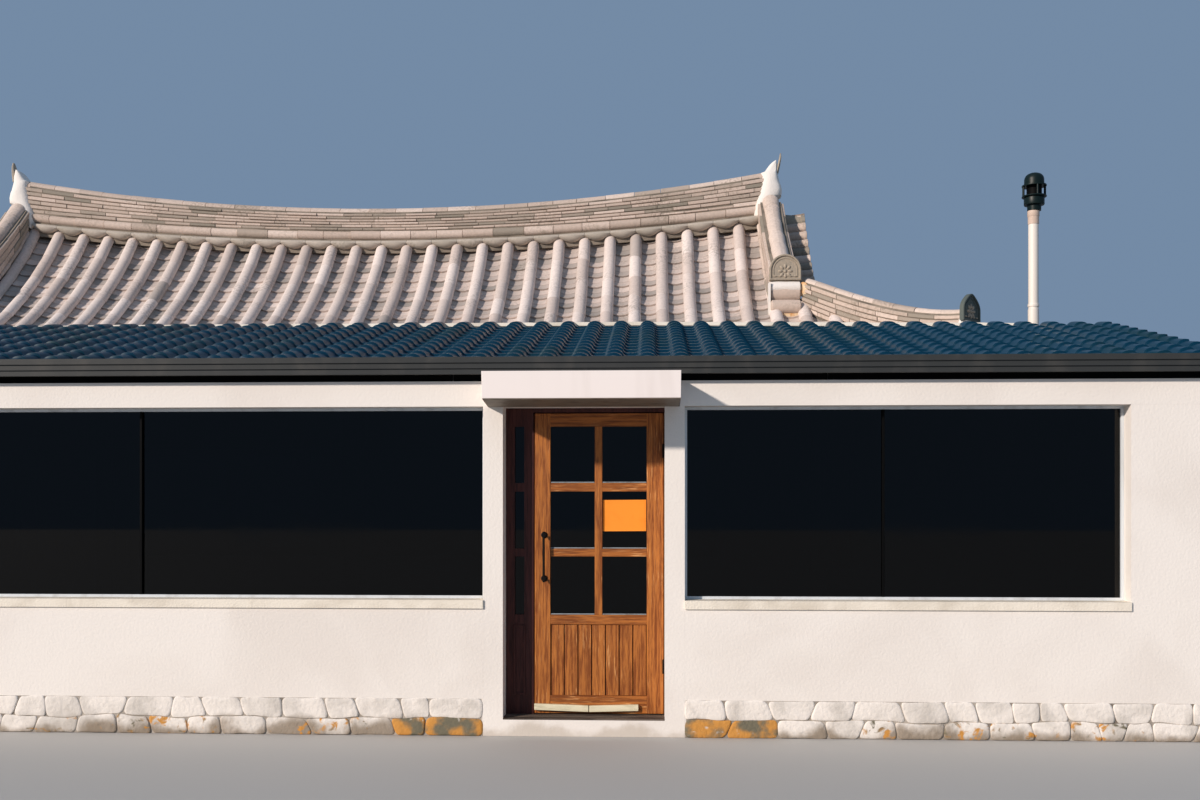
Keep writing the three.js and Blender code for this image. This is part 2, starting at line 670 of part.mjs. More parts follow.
const sideGlassX = [HOUSE_HALF - 110 - GLASS, HOUSE_HALF - 110];
for (const [word, side] of [["left", -1], ["right", 1]]) {
  add(`hanok_wall_${word}`, houseSide(side), plaster);
  add(`glass_${word}`, box(sideGlassX.map((x) => side * x).sort((a, b) => a - b),
    inset(SIDE_WINDOW), inset(windowSpan)), clearGlass);
}

const backWindowCutters = BACK_WINDOWS.map((span) => box(span, [0, 9000], windowSpan));
add("hanok_wall_back", cut(box([-houseInside, houseInside], [HOUSE_BACK - WALL, HOUSE_BACK], [0, TALL]),
  ...underRoof, ...backWindowCutters), plaster);
add("glass_back", box([BACK_WINDOWS[0][0] - 40, BACK_WINDOWS[1][1] + 40],
  [HOUSE_BACK - WALL - GAP - GLASS, HOUSE_BACK - WALL - GAP], [SILL_TOP - 40, HEAD + 40]), clearGlass);

add("hanok_bent", cut(bent(-houseInside, houseInside, [3800, 3980], 2960, [-2600, 0, 2600], 180), ...underRoof),
  timber);

// Tiled roof

add("roof_front", mainSlope(-1), tile);
add("roof_back", backSlope(), tile);
add("roof_left", skirt(-1), tile);
add("roof_right", skirt(1), tile);

/** Gable wall between the slopes, over the inner edge of a skirt. */
function gable(side) {
  const x = [GABLE_X - 100, GABLE_X - GAP].map((value) => side * value).sort((a, b) => a - b);
  return cut(box(x, [RIDGE_Y - GABLE_SPREAD, RIDGE_Y + GABLE_SPREAD], [GABLE_FOOT, TALL]), ...underRoof);
}

/** The roof's edge over a gable. */
function verge(side) {
  const half = ROOF_DEPTH - VERGE_FOOT;
  const from = GABLE_X + GAP;
  const plan = (s, t) => [side * (from + s * (VERGE_X - from)), RIDGE_Y + side * (2 * t - 1) * half];
  return patch(plan, mainHeight, below(mainHeight, VERGE_THICKNESS), 2, 12);
}

for (const [word, side] of [["left", -1], ["right", 1]]) {
  add(`gable_${word}`, gable(side), plaster);
  add(`verge_${word}`, verge(side), tile);
}

const onTiles = tileCutters();
const atEaveFace = onTiles.map((cutter) => cutter.clone().translate(0, -GAP, 0));

add("valley_flashing", cut(runAlongX([
  [LEANTO_BACK + GAP, VALLEY_BOTTOM],
  [VALLEY_BACK, VALLEY_BOTTOM],
  [VALLEY_BACK, VALLEY_TOP[1]],
  [LEANTO_BACK + GAP, VALLEY_TOP[0]],
], SHOP_LEFT, ROOF_HALF), ...onTiles, ...atEaveFace), cream);

// Ridges

/** Half-widths and heights of a ridge's section, from the base up to its round cap. */
function ridgeOutline(width, height) {
  const half = width / 2;
  const cap = Math.min(half * 0.7, height / 2);
  const steps = [0, 1, 2, 3, 4, 5, 6].map((k) => (k * Math.PI) / 6);
  return [
    [-half, 0],
    [half, 0],
    [half, height - cap],
    ...steps.map((angle) => [cap * Math.cos(angle), height - cap + cap * Math.sin(angle)]),
    [-half, height - cap],
  ];
}

function mainRidge() {
  const rings = [];
  const stations = 18;
  // The ends lean out: a ring's x is that of its top, and its foot stands back by its lean
  const ring = (x, width, base, top, lean = 0) => ridgeOutline(width, top - base)
    .map(([a, b]) => new THREE.Vector3(x + lean * (b / (top - base) - 1), a, base + b));
  for (let k = 0; k <= stations; k += 1) {
    const x = -RIDGE_HALF + (2 * RIDGE_HALF * k) / stations;
    const top = RIDGE_TOP + RIDGE_TOP_SAG * x * x;
    const lean = k % stations === 0 ? Math.sign(x) * RIDGE_END_LEAN : 0;
    rings.push(ring(x, RIDGE_WIDTH, mainHeight(x, RIDGE_Y + RIDGE_WIDTH / 2) - BEDDING, top, lean));
  }
  const tips = [
    { past: 22, width: 200, base: 5080, top: 5570, lean: 150 },
    { past: 52, width: 120, base: 5450, top: 5665, lean: 35 },
    { past: 90, width: 40, base: 5700, top: 5755, lean: 0 },
  ];
  const tipRing = (side, { past, width, base, top, lean }) =>
    ring(side * (RIDGE_HALF + past), width, base, top, side * lean);
  const left = tips.map((tip) => tipRing(-1, tip)).reverse();
  const right = tips.map((tip) => tipRing(1, tip));
  return cut(loft([...left, ...rings, ...right]).translate(0, RIDGE_Y, 0), ...onTiles);
}

add("ridge_main", mainRidge(), tile);

/** A round-topped end tile, standing across its ridge: origin at the middle of its foot. */
function endTile({ width, height, thickness }) {
  const half = width / 2;
  const steps = [0, 1, 2, 3, 4, 5, 6, 7, 8].map((k) => (k * Math.PI) / 8);
  const arch = steps.map((angle) => [half * Math.cos(angle), height - half + half * Math.sin(angle)]);
  return runBack([[-half, 0], [half, 0], ...arch], 0, thickness);
}

/** A ridge that runs down a slope: plan(inward) is its line, across the unit vector to its right. */
function slopeRidge(plan, across, height, { from, to, width, rise }) {
  const steps = 8;
  const rings = [];
  for (let k = 0; k <= steps; k += 1) {
    const share = k / steps;
    const [x, y] = plan(from + (to - from) * share);
    const top = height(x, y) + rise[0] + (rise[1] - rise[0]) * share;
    const base = height(x, y) - BEDDING;
    rings.push(ridgeOutline(width, top - base).map(([a, b]) =>
      new THREE.Vector3(x + across[0] * a, y + across[1] * a, base + b)));
  }
  return loft(rings);
}

/** Tiles on the hip, where a skirt meets a main slope. */
function hipHeight(x, y) {
  const onSkirt = ROOF_HALF - Math.abs(x) < ROOF_DEPTH - Math.abs(y - RIDGE_Y);
  return onSkirt ? skirtHeight(x, y) : mainHeight(x, y);
}

function descendingRidge(side, facing) {
  const splay = (DESCENT.x[1] - DESCENT.x[0]) / (DESCENT.from - DESCENT.to);
  const plan = (inward) => [
    side * (DESCENT.x[0] + splay * (DESCENT.from - inward)),
    RIDGE_Y + facing * (ROOF_DEPTH - inward),
  ];
  const ridge = slopeRidge(plan, [-facing, 0], mainHeight, DESCENT);
  const [x, y] = plan(DESCENT.to);
  const end = endTile(DESCENT_TILE).rotateZ(facing < 0 ? 0 : Math.PI)
    .translate(x, y, mainHeight(x, y) + DESCENT_TILE.raised);
  return cut(join(ridge, end), ...onTiles);
}

function hipRidge(side, facing) {
  const plan = (inward) => [side * (ROOF_HALF - inward), RIDGE_Y + facing * (ROOF_DEPTH - inward)];
  const across = [-facing * Math.SQRT1_2, side * Math.SQRT1_2];
  const ridge = slopeRidge(plan, across, hipHeight, HIP);
  const [x, y] = plan(HIP.to);
  const end = endTile(HIP_TILE).rotateZ(Math.atan2(facing, side) + Math.PI / 2)
    .translate(x, y, hipHeight(x, y) + HIP_TILE.raised);
  return cut(join(ridge, end), ...onTiles);
}

for (const [depthWord, facing] of [["front", -1], ["back", 1]]) {
  for (const [sideWord, side] of [["left", -1], ["right", 1]]) {
    add(`descending_ridge_${depthWord}_${sideWord}`, descendingRidge(side, facing), tile);
    add(`hip_ridge_${depthWord}_${sideWord}`, hipRidge(side, facing), tile);
  }
}

// Vent

function ring(inner, outer, bottom, top) {
  const outline = [[inner, bottom], [outer, bottom], [outer, top], [inner, top], [inner, bottom]];
  return turned(outline);
}

/** A solid of revolution about the vent's axis, from [radius, height] points. */
function turned(outline) {
  const points = outline.map(([radius, z]) => new THREE.Vector2(radius, z));
  return new THREE.LatheGeometry(points, 14).rotateX(Math.PI / 2).translate(VENT.x, VENT.y, 0);
}

function ventPipe() {
  const clampHeight = 26;
  const tube = ring(VENT.radius - VENT.wall, VENT.radius, 0, VENT.top);
  const collar = ring(VENT.radius - 1, VENT.radius + 5, ...VENT_COLLAR);
  const clamps = [VENT_CLAMP, ...VENT_BRACKETS].map((z) =>
    ring(VENT.radius - 1, VENT.radius + 4, z, z + clampHeight));
  const arms = VENT_BRACKETS.map((z) => box([VENT.x - 15, VENT.x + 15],
    [SHOP_BACK + GAP, VENT.y - VENT.radius + 2], [z, z + clampHeight]));
  return join(tube, collar, ...clamps, ...arms);
}

add("vent_pipe", ventPipe(), pipeWhite);
add("vent_cap", turned(CAP_OUTLINE), capGreen);

export default house;
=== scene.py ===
"""Looks of the hanok house: its tiles, boards, stones and finishes, around the packed solids.

Sizes are in metres. They are given in the house's own frame, in which x runs from the middle of the tiled
house and y from the face of the shop front back. HOUSE_ORIGIN moves them into the frame of the part.
"""

from __future__ import annotations

import logging
import math
import random
from dataclasses import dataclass, field
from enum import Enum
from typing import Callable, Sequence

import bmesh
import bpy
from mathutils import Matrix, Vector, noise

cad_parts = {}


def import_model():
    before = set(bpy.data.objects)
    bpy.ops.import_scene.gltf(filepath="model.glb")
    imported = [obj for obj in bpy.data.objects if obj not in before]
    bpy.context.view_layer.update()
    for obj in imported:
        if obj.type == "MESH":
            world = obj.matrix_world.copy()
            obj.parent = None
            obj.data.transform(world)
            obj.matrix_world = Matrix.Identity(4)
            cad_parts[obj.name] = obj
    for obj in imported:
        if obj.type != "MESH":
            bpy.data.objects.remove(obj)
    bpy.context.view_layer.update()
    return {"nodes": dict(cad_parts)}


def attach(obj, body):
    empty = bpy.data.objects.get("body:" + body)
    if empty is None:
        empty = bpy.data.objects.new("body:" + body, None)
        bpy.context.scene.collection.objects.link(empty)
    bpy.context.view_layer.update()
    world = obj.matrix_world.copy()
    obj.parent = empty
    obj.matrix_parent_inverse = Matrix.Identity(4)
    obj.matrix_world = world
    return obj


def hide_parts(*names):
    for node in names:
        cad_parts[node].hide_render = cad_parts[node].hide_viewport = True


LOG = logging.getLogger("hanok_house")
HOUSE_ORIGIN = Vector((-0.387, -3.9975, 0.0))

Point = tuple[float, float, float]
Span = tuple[float, float]
Colour = tuple[float, float, float, float]
Ring = Sequence[Vector]
Socket = bpy.types.NodeSocket
Surface = tuple[Socket, Socket, Socket]


class Body(Enum):
    """Bodies that pieces ride on."""

    HOUSE = "house"
    DOOR = "door"


def linear(red: int, green: int, blue: int) -> Colour:
    """An sRGB colour of 0 to 255 in linear light, opaque."""

    def channel(value: int) -> float:
        share = value / 255
        return share / 12.92 if share <= 0.04045 else ((share + 0.055) / 1.055) ** 2.4

    return (channel(red), channel(green), channel(blue), 1.0)


def blend_between(low: float, high: float, share: float) -> float:
    """The value at a share of the way from low to high."""
    return low + (high - low) * share


def full_turn(steps: int) -> list[float]:
    """Angles evenly round a circle."""
    return [2 * math.pi * j / steps for j in range(steps)]


def half_turn(steps: int) -> list[float]:
    """Angles evenly over half a circle, with both its ends."""
    return [math.pi * j / steps for j in range(steps + 1)]


def drawn_tone(rng: random.Random, middle: float, spread: float) -> float:
    """A tone of 0 to 1, drawn at random round a middle."""
    return min(1.0, max(0.0, rng.gauss(middle, spread)))


# Meshes


@dataclass
class Draft:
    """A piece's mesh while it is put together, in the house's own frame.

    Every point carries a tone of 0 to 1, from which a finish colours each tile, board or stone on its own.
    """

    points: list[Point] = field(default_factory=list)
    faces: list[tuple[int, ...]] = field(default_factory=list)
    tones: list[float] = field(default_factory=list)
    slots: list[int] = field(default_factory=list)

    def loft(self, rings: Sequence[Ring], tone: float = 0.5, slot: int = 0) -> None:
        """Joins rings of equal point counts, in order, into a solid closed at both ends.

        Args:
            rings: the rings' points.
            tone: tone of all its points.
            slot: index of its finish.
        """
        count = len(rings[0])
        start = len(self.points)
        for ring in rings:
            self.points.extend(tuple(point) for point in ring)
        self.tones.extend([tone] * (count * len(rings)))
        for r in range(len(rings) - 1):
            base = start + r * count
            for i in range(count):
                after = (i + 1) % count
                self.faces.append((base + i, base + after, base + after + count, base + i + count))
        last = start + (len(rings) - 1) * count
        self.faces.append(tuple(start + i for i in reversed(range(count))))
        self.faces.append(tuple(last + i for i in range(count)))
        self.slots.extend([slot] * ((len(rings) - 1) * count + 2))

    def sheet(self, top: Sequence[Ring], bottom: Sequence[Ring], tone: float = 0.5, slot: int = 0) -> None:
        """Closes two grids of the same rows and columns into a sheet with a thickness.

        Args:
            top: rows of points of the upper face.
            bottom: rows of points of the lower face.
            tone: tone of all its points.
            slot: index of its finish.
        """
        rows, columns = len(top), len(top[0])
        start = len(self.points)
        for layer in (top, bottom):
            for row in layer:
                self.points.extend(tuple(point) for point in row)
        self.tones.extend([tone] * (2 * rows * columns))
        before = len(self.faces)
        for layer in (0, 1):
            for r in range(rows - 1):
                for c in range(columns - 1):
                    a = start + layer * rows * columns + r * columns + c
                    self.faces.append((a, a + 1, a + columns + 1, a + columns))
        edge = [(0, c) for c in range(columns)] + [(r, columns - 1) for r in range(1, rows)]
        edge += [(rows - 1, c) for c in range(columns - 2, -1, -1)] + [(r, 0) for r in range(rows - 2, 0, -1)]
        for k, (r, c) in enumerate(edge):
            r2, c2 = edge[(k + 1) % len(edge)]
            a, b = start + r * columns + c, start + r2 * columns + c2
            self.faces.append((a, b, b + rows * columns, a + rows * columns))
        self.slots.extend([slot] * (len(self.faces) - before))

    def block(self, x: Span, y: Span, z: Span, tone: float = 0.5, slot: int = 0) -> None:
        """A plain block between two corners, to be bevelled with its piece."""
        ring = [(x[0], z[0]), (x[1], z[0]), (x[1], z[1]), (x[0], z[1])]
        self.loft([[Vector((a, depth, b)) for a, b in ring] for depth in y], tone, slot)

    def surround(self, x: Span, y: Span, z: Span, width: float, tone: float = 0.5, back: float = 0.0) -> None:
        """Four bars round an opening.

        Args:
            x: left and right edge of the whole.
            y: front and back of the bars.
            z: foot and top of the whole.
            width: width of a bar.
            tone: tone of all its points.
            back: how far the level bars stand back from the upright ones.
        """
        for side in ((x[0], x[0] + width), (x[1] - width, x[1])):
            self.block(side, y, z, tone)
        for level in ((z[0], z[0] + width), (z[1] - width, z[1])):
            self.block((x[0] + width, x[1] - width), (y[0] + back, y[1]), level, tone)

    def lathe(self, outline: Sequence[Span], centre: Span, steps: int, slot: int = 0) -> None:
        """A solid of revolution about an upright axis.

        Args:
            outline: radius and height up the outside.
            centre: x and y of the axis.
            steps: points round it.
            slot: index of its finish.
        """
        rings = []
        for wide, height in outline:
            radius = max(wide, 1e-4)
            rings.append([Vector((centre[0] + radius * math.cos(a), centre[1] + radius * math.sin(a), height))
                          for a in full_turn(steps)])
        self.loft(rings, 0.5, slot)

    def tube(self, path: Ring, radius: float, sides: int, tone: float = 0.5, slot: int = 0) -> None:
        """A round bar along a path of two or more points."""
        rings = []
        for k, point in enumerate(path):
            ahead = path[min(k + 1, len(path) - 1)] - path[max(k - 1, 0)]
            ahead.normalize()
            side = ahead.cross(Vector((0, 0, 1)))
            side = side.normalized() if side.length > 1e-3 else Vector((1, 0, 0))
            up = side.cross(ahead)
            rings.append([point + side * radius * math.cos(a) + up * radius * math.sin(a)
                          for a in full_turn(sides)])
        self.loft(rings, tone, slot)

    def build(self, name: str, finishes: Sequence[bpy.types.Material], bevel: float = 0.0,
              sharp: float = 38.0) -> bpy.types.Object:
        """Makes the piece.

        Args:
            name: name of the piece.
            finishes: its materials, in the order of the slots.
            bevel: width of its rounded edges, or 0.
            sharp: angle in degrees from which an edge is left sharp.

        Returns:
            The new object, in the frame of the part.
        """
        mesh = bpy.data.meshes.new(name)
        shift = HOUSE_ORIGIN
        mesh.from_pydata([(x + shift.x, y + shift.y, z + shift.z) for x, y, z in self.points], [], self.faces)
        tones = mesh.attributes.new("tone", "FLOAT", "POINT")
        tones.data.foreach_set("value", self.tones)
        mesh.polygons.foreach_set("material_index", self.slots)
        form = bmesh.new()
        form.from_mesh(mesh)
        bmesh.ops.recalc_face_normals(form, faces=form.faces)
        form.to_mesh(mesh)
        form.free()
        mesh.polygons.foreach_set("use_smooth", [True] * len(mesh.polygons))
        mesh.set_sharp_from_angle(angle=math.radians(sharp))
        for finish in finishes:
            mesh.materials.append(finish)
        piece = bpy.data.objects.new(name, mesh)
        bpy.context.scene.collection.objects.link(piece)
        if bevel:
            soften(piece, bevel)
        return piece


def soften(piece: bpy.types.Object, width: float, segments: int = 2) -> None:
    """Rounds the sharp edges of a piece or a CAD node by a bevel modifier."""
    bevel = piece.modifiers.new("rounded edges", "BEVEL")
    bevel.width = width
    bevel.segments = segments
    bevel.limit_method = "ANGLE"
    bevel.angle_limit = math.radians(40)
    bevel.harden_normals = True


def place(piece: bpy.types.Object, body: Body, slot: str, *nodes: str) -> None:
    """Lets a piece ride on a body and stand for CAD nodes.

    Args:
        piece: the piece.
        body: what it moves with.
        slot: material slot of the record, not used.
        nodes: CAD nodes that it replaces.
    """
    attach(piece, body.value)
    if nodes:
        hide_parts(*nodes)
    LOG.info("%s: %d faces, on %s", piece.name, len(piece.data.polygons), body.value)


def dress(node: bpy.types.Object, finish: bpy.types.Material, rounded: float = 0.0,
          segments: int = 2) -> None:
    """Gives a CAD node its finish.

    Args:
        node: the CAD node.
        finish: its material.
        rounded: width of its rounded edges, or 0.
        segments: steps of their rounding.
    """
    if not node.data.materials:
        node.data.materials.append(finish)
    for slot in node.material_slots:
        slot.material = finish
    if rounded:
        soften(node, rounded, segments)


# Node graphs


@dataclass(frozen=True)
class Graph:
    """A node tree, with short calls to add nodes and join them."""

    tree: bpy.types.NodeTree

    def add(self, kind: str, inputs: dict | None = None, **settings: object) -> bpy.types.Node:
        """Adds a node.

        Args:
            kind: the node's type.
            inputs: values or sockets for its inputs, by name or index.
            settings: its properties.

        Returns:
            The node.
        """
        node = self.tree.nodes.new(kind)
        for key, value in settings.items():
            setattr(node, key, value)
        for key, value in (inputs or {}).items():
            self.feed(node.inputs[key], value)
        return node

    def feed(self, socket: Socket, value: object) -> None:
        """Joins a socket to an input, or sets the input's own value."""
        if isinstance(value, Socket):
            self.tree.links.new(value, socket)
        else:
            socket.default_value = value

    def effect(self, tree: bpy.types.NodeTree, inputs: dict[str, object]) -> tuple[Socket, ...]:
        """Adds a shared effect, feeds its inputs and gives its outputs in their order."""
        return tuple(self.add("ShaderNodeGroup", inputs, node_tree=tree).outputs)

    def noise(self, coordinate: object, scale: object, detail: float = 4.0,
              distortion: float = 0.0) -> Socket:
        """Value of a noise texture."""
        inputs = {"Vector": coordinate, "Scale": scale, "Detail": detail, "Distortion": distortion}
        return self.add("ShaderNodeTexNoise", inputs).outputs["Fac"]

    def ranged(self, value: object, source: Span, target: Span = (0.0, 1.0)) -> Socket:
        """A value moved smoothly from one range to another and held inside it."""
        inputs = {"Value": value, "From Min": source[0], "From Max": source[1], "To Min": target[0],
                  "To Max": target[1]}
        return self.add("ShaderNodeMapRange", inputs, interpolation_type="SMOOTHSTEP").outputs[0]

    def math(self, operation: str, first: object, second: object = 0.0) -> Socket:
        """Result of a sum, product or other operation on two values."""
        return self.add("ShaderNodeMath", {0: first, 1: second}, operation=operation).outputs[0]

    def vector(self, operation: str, first: object, second: object) -> Socket:
        """Result of an operation on two vectors."""
        return self.add("ShaderNodeVectorMath", {0: first, 1: second}, operation=operation).outputs[0]

    def mix(self, share: object, first: object, second: object) -> Socket:
        """A colour a share of the way from the first to the second."""
        return self.add("ShaderNodeMix", {0: share, 6: first, 7: second}, data_type="RGBA").outputs[2]


class SocketKind(Enum):
    """Kinds of socket on the shared effects."""

    VALUE = "NodeSocketFloat"
    COLOUR = "NodeSocketColor"
    VECTOR = "NodeSocketVector"


Sockets = dict[str, SocketKind]
SURFACE: Sockets = {"Color": SocketKind.COLOUR, "Mask": SocketKind.VALUE, "Height": SocketKind.VALUE}


def sockets(vectors: str = "", colours: str = "", values: str = "") -> Sockets:
    """Lists the sockets of an effect.

    Args:
        vectors: names of its vectors, parted by commas.
        colours: names of its colours.
        values: names of its plain values.

    Returns:
        The kind of each socket, by name.
    """
    listed = ((vectors, SocketKind.VECTOR), (colours, SocketKind.COLOUR), (values, SocketKind.VALUE))
    return {name: kind for names, kind in listed for name in names.split(", ") if name}


class Effects:
    """Shared effects, each a node group that is built once."""

    def __init__(self) -> None:
        """Builds every group."""
        self.patina = self._patina()
        self.grain = self._grain()
        self.foot_grime = self._foot_grime()
        self.tile_tones = self._tile_tones()
        self.streaks = self._streaks()

    def _group(self, name: str, inputs: Sockets,
               outputs: Sockets = SURFACE) -> tuple[Graph, Sequence[Socket]]:
        """An empty group with its sockets.

        Args:
            name: name of the group.
            inputs: its inputs.
            outputs: its outputs.

        Returns:
            The group's graph, and the sockets that bring its inputs.
        """
        tree = bpy.data.node_groups.new(name, "ShaderNodeTree")
        for direction, wanted in (("INPUT", inputs), ("OUTPUT", outputs)):
            for socket, kind in wanted.items():
                tree.interface.new_socket(name=socket, in_out=direction, socket_type=kind.value)
        graph = Graph(tree)
        return graph, graph.add("NodeGroupInput").outputs

    def _outlet(self, graph: Graph, *values: Socket) -> bpy.types.NodeTree:
        """Feeds a group's outputs in their order, and gives its tree."""
        for socket, value in zip(graph.add("NodeGroupOutput").inputs, values):
            graph.feed(socket, value)
        return graph.tree

    def _patina(self) -> bpy.types.NodeTree:
        """Cloudy stains of a second colour, with a fine surface height."""
        graph, given = self._group(
            "patina", sockets("Coordinate", "Base, Stain", "Scale, Amount, Fine Scale"))
        cloud = graph.noise(given["Coordinate"], given["Scale"], 6.0, 0.6)
        mask = graph.math("MULTIPLY", graph.ranged(cloud, (0.40, 0.70)), given["Amount"])
        fine = graph.noise(given["Coordinate"], given["Fine Scale"], 5.0)
        height = graph.math("ADD", fine, graph.math("MULTIPLY", cloud, 0.8))
        return self._outlet(graph, graph.mix(mask, given["Base"], given["Stain"]), mask, height)

    def _grain(self) -> bpy.types.NodeTree:
        """Wood grain, stretched by a vector that is small along the boards."""
        graph, given = self._group(
            "wood_grain", sockets("Coordinate, Stretch", "Light, Dark, Worn", "Tone, Wear"))
        drawn = graph.vector("MULTIPLY", given["Coordinate"], given["Stretch"])
        moved = graph.vector("ADD", drawn, graph.math("MULTIPLY", given["Tone"], 37.0))
        figure = graph.noise(moved, 1.0, 7.0, 0.5)
        fibre = graph.noise(moved, 5.0, 3.0)
        lines = graph.ranged(graph.math("ADD", figure, graph.math("MULTIPLY", fibre, 0.5)), (0.58, 0.90))
        colour = graph.mix(lines, given["Dark"], given["Light"])
        toned = graph.mix(graph.math("MULTIPLY", given["Tone"], 0.22), colour, given["Dark"])
        flecks = graph.ranged(graph.noise(moved, 2.3, 5.0, 0.3), (0.56, 0.68))
        patches = graph.ranged(graph.noise(given["Coordinate"], 3.2, 4.0, 0.6), (0.42, 0.66))
        worn = graph.math("MULTIPLY", graph.math("MULTIPLY", flecks, patches), given["Wear"])
        height = graph.math("ADD", lines, fibre)
        return self._outlet(graph, graph.mix(worn, toned, given["Worn"]), worn, height)

    def _foot_grime(self) -> bpy.types.NodeTree:
        """Splashed dirt that fades out above a height over the ground."""
        graph, given = self._group("foot_grime", sockets("Coordinate", "Color, Grime", "Reach, Amount"),
                                   sockets(colours="Color", values="Mask"))
        parts = graph.add("ShaderNodeSeparateXYZ", {0: given["Coordinate"]})
        height = graph.math("DIVIDE", parts.outputs[2], given["Reach"])
        splashes = graph.ranged(graph.noise(given["Coordinate"], 3.0, 6.0), (0.3, 0.7), (-0.7, 0.7))
        ragged = graph.math("ADD", height, splashes)
        mask = graph.math("MULTIPLY", graph.ranged(ragged, (0.0, 1.1), (1.0, 0.0)), given["Amount"])
        return self._outlet(graph, graph.mix(mask, given["Color"], given["Grime"]), mask)

    def _tile_tones(self) -> bpy.types.NodeTree:
        """Colour of fired clay, from a tile's own tone, with weathering over it."""
        graph, given = self._group(
            "tile_tones", sockets("Coordinate", "Pale, Warm, Cool, Moss", "Tone, Weather"))
        warm = graph.mix(graph.ranged(given["Tone"], (0.0, 0.55)), given["Cool"], given["Warm"])
        own = graph.mix(graph.ranged(given["Tone"], (0.5, 1.0)), warm, given["Pale"])
        cloud = graph.noise(given["Coordinate"], 2.6, 7.0, 0.4)
        weather = graph.math("MULTIPLY", graph.ranged(cloud, (0.48, 0.72)), given["Weather"])
        spots = graph.noise(given["Coordinate"], 38.0, 5.0)
        moss = graph.math("MULTIPLY", weather, graph.ranged(spots, (0.42, 0.66)))
        speckled = graph.mix(graph.ranged(spots, (0.3, 0.75), (0.0, 0.22)), own, given["Cool"])
        height = graph.math("ADD", spots, graph.math("MULTIPLY", cloud, 0.5))
        return self._outlet(graph, graph.mix(moss, speckled, given["Moss"]), moss, height)

    def _streaks(self) -> bpy.types.NodeTree:
        """Runs of dirt down a painted or moulded surface."""
        graph, given = self._group("streaks", sockets("Coordinate, Stretch", "Color, Dirt", "Amount"))
        runs = graph.noise(graph.vector("MULTIPLY", given["Coordinate"], given["Stretch"]), 1.0, 5.0, 0.3)
        mask = graph.math("MULTIPLY", graph.ranged(runs, (0.46, 0.74)), given["Amount"])
        height = graph.noise(given["Coordinate"], 160.0, 3.0)
        return self._outlet(graph, graph.mix(mask, given["Color"], given["Dirt"]), mask, height)


# Finishes


@dataclass(frozen=True)
class Finish:
    """What every finish has: a name, its gloss and the depth of its relief."""

    name: str
    roughness: Span
    relief: float
    metallic: float = 0.0
    specular: float = 0.4

    def material(self, effects: Effects) -> bpy.types.Material:
        """Builds the material.

        Args:
            effects: the shared effects.

        Returns:
            The material, whose colour, roughness and relief vary over the surface.
        """
        made = bpy.data.materials.new(self.name)
        made.use_nodes = True
        graph = Graph(made.node_tree)
        shader = made.node_tree.nodes["Principled BSDF"]
        shader.inputs["Metallic"].default_value = self.metallic
        shader.inputs["Specular IOR Level"].default_value = self.specular
        coordinate = graph.add("ShaderNodeTexCoord").outputs["Object"]
        tone = graph.add("ShaderNodeAttribute", attribute_name="tone").outputs["Fac"]
        colour, mask, height = self.surface(graph, effects, coordinate, tone)
        graph.feed(shader.inputs["Base Color"], colour)
        graph.feed(shader.inputs["Roughness"], graph.ranged(mask, (0.0, 1.0), self.roughness))
        bump = graph.add("ShaderNodeBump", {"Strength": 0.6, "Distance": self.relief, "Height": height})
        graph.feed(shader.inputs["Normal"], bump.outputs[0])
        return made

    def surface(self, graph: Graph, effects: Effects, coordinate: Socket, tone: Socket) -> Surface:
        """The sockets for its colour, its mask of wear and its height, made by each kind of finish."""
        raise NotImplementedError


@dataclass(frozen=True)
class MineralFinish(Finish):
    """Plaster, mortar, stone or concrete."""

    base: Colour = linear(231, 231, 231)
    stain: Colour = linear(188, 188, 188)
    scale: float = 1.2
    amount: float = 0.5
    fine: float = 90.0
    grime: Colour = linear(140, 122, 100)
    grime_reach: float = 0.4
    grime_amount: float = 0.0

    def surface(self, graph: Graph, effects: Effects, coordinate: Socket, tone: Socket) -> Surface:
        """Stained mineral, dirty at its foot."""
        colour, mask, height = graph.effect(effects.patina, {
            "Coordinate": coordinate, "Base": self.base, "Stain": self.stain, "Scale": self.scale,
            "Amount": self.amount, "Fine Scale": self.fine})
        soiled, _ = graph.effect(effects.foot_grime, {
            "Coordinate": coordinate, "Color": colour, "Grime": self.grime, "Reach": self.grime_reach,
            "Amount": self.grime_amount})
        return soiled, mask, height


@dataclass(frozen=True)
class StoneFinish(MineralFinish):
    """Stones under worn whitewash: the tone says how bare a stone is."""

    bare: Colour = linear(204, 150, 82)
    mottle: Colour = linear(122, 117, 100)

    def surface(self, graph: Graph, effects: Effects, coordinate: Socket, tone: Socket) -> Surface:
        """Whitewash that thins out over the barest stones."""
        colour, mask, height = super().surface(graph, effects, coordinate, tone)
        chips = graph.noise(coordinate, 14.0, 6.0, 0.7)
        bare = graph.ranged(graph.math("ADD", chips, graph.math("MULTIPLY", tone, 0.55)), (0.80, 0.92))
        stone = graph.mix(graph.ranged(graph.noise(coordinate, 5.0), (0.44, 0.58)), self.bare, self.mottle)
        return graph.mix(bare, colour, stone), mask, height


@dataclass(frozen=True)
class TileFinish(Finish):
    """Fired clay tiles."""

    pale: Colour = linear(202, 188, 172)
    warm: Colour = linear(176, 164, 148)
    cool: Colour = linear(152, 148, 144)
    moss: Colour = linear(112, 110, 96)
    weather: float = 0.5

    def surface(self, graph: Graph, effects: Effects, coordinate: Socket, tone: Socket) -> Surface:
        """Clay in the tile's own tone."""
        return graph.effect(effects.tile_tones, {
            "Coordinate": coordinate, "Tone": tone, "Pale": self.pale, "Warm": self.warm, "Cool": self.cool,
            "Moss": self.moss, "Weather": self.weather})


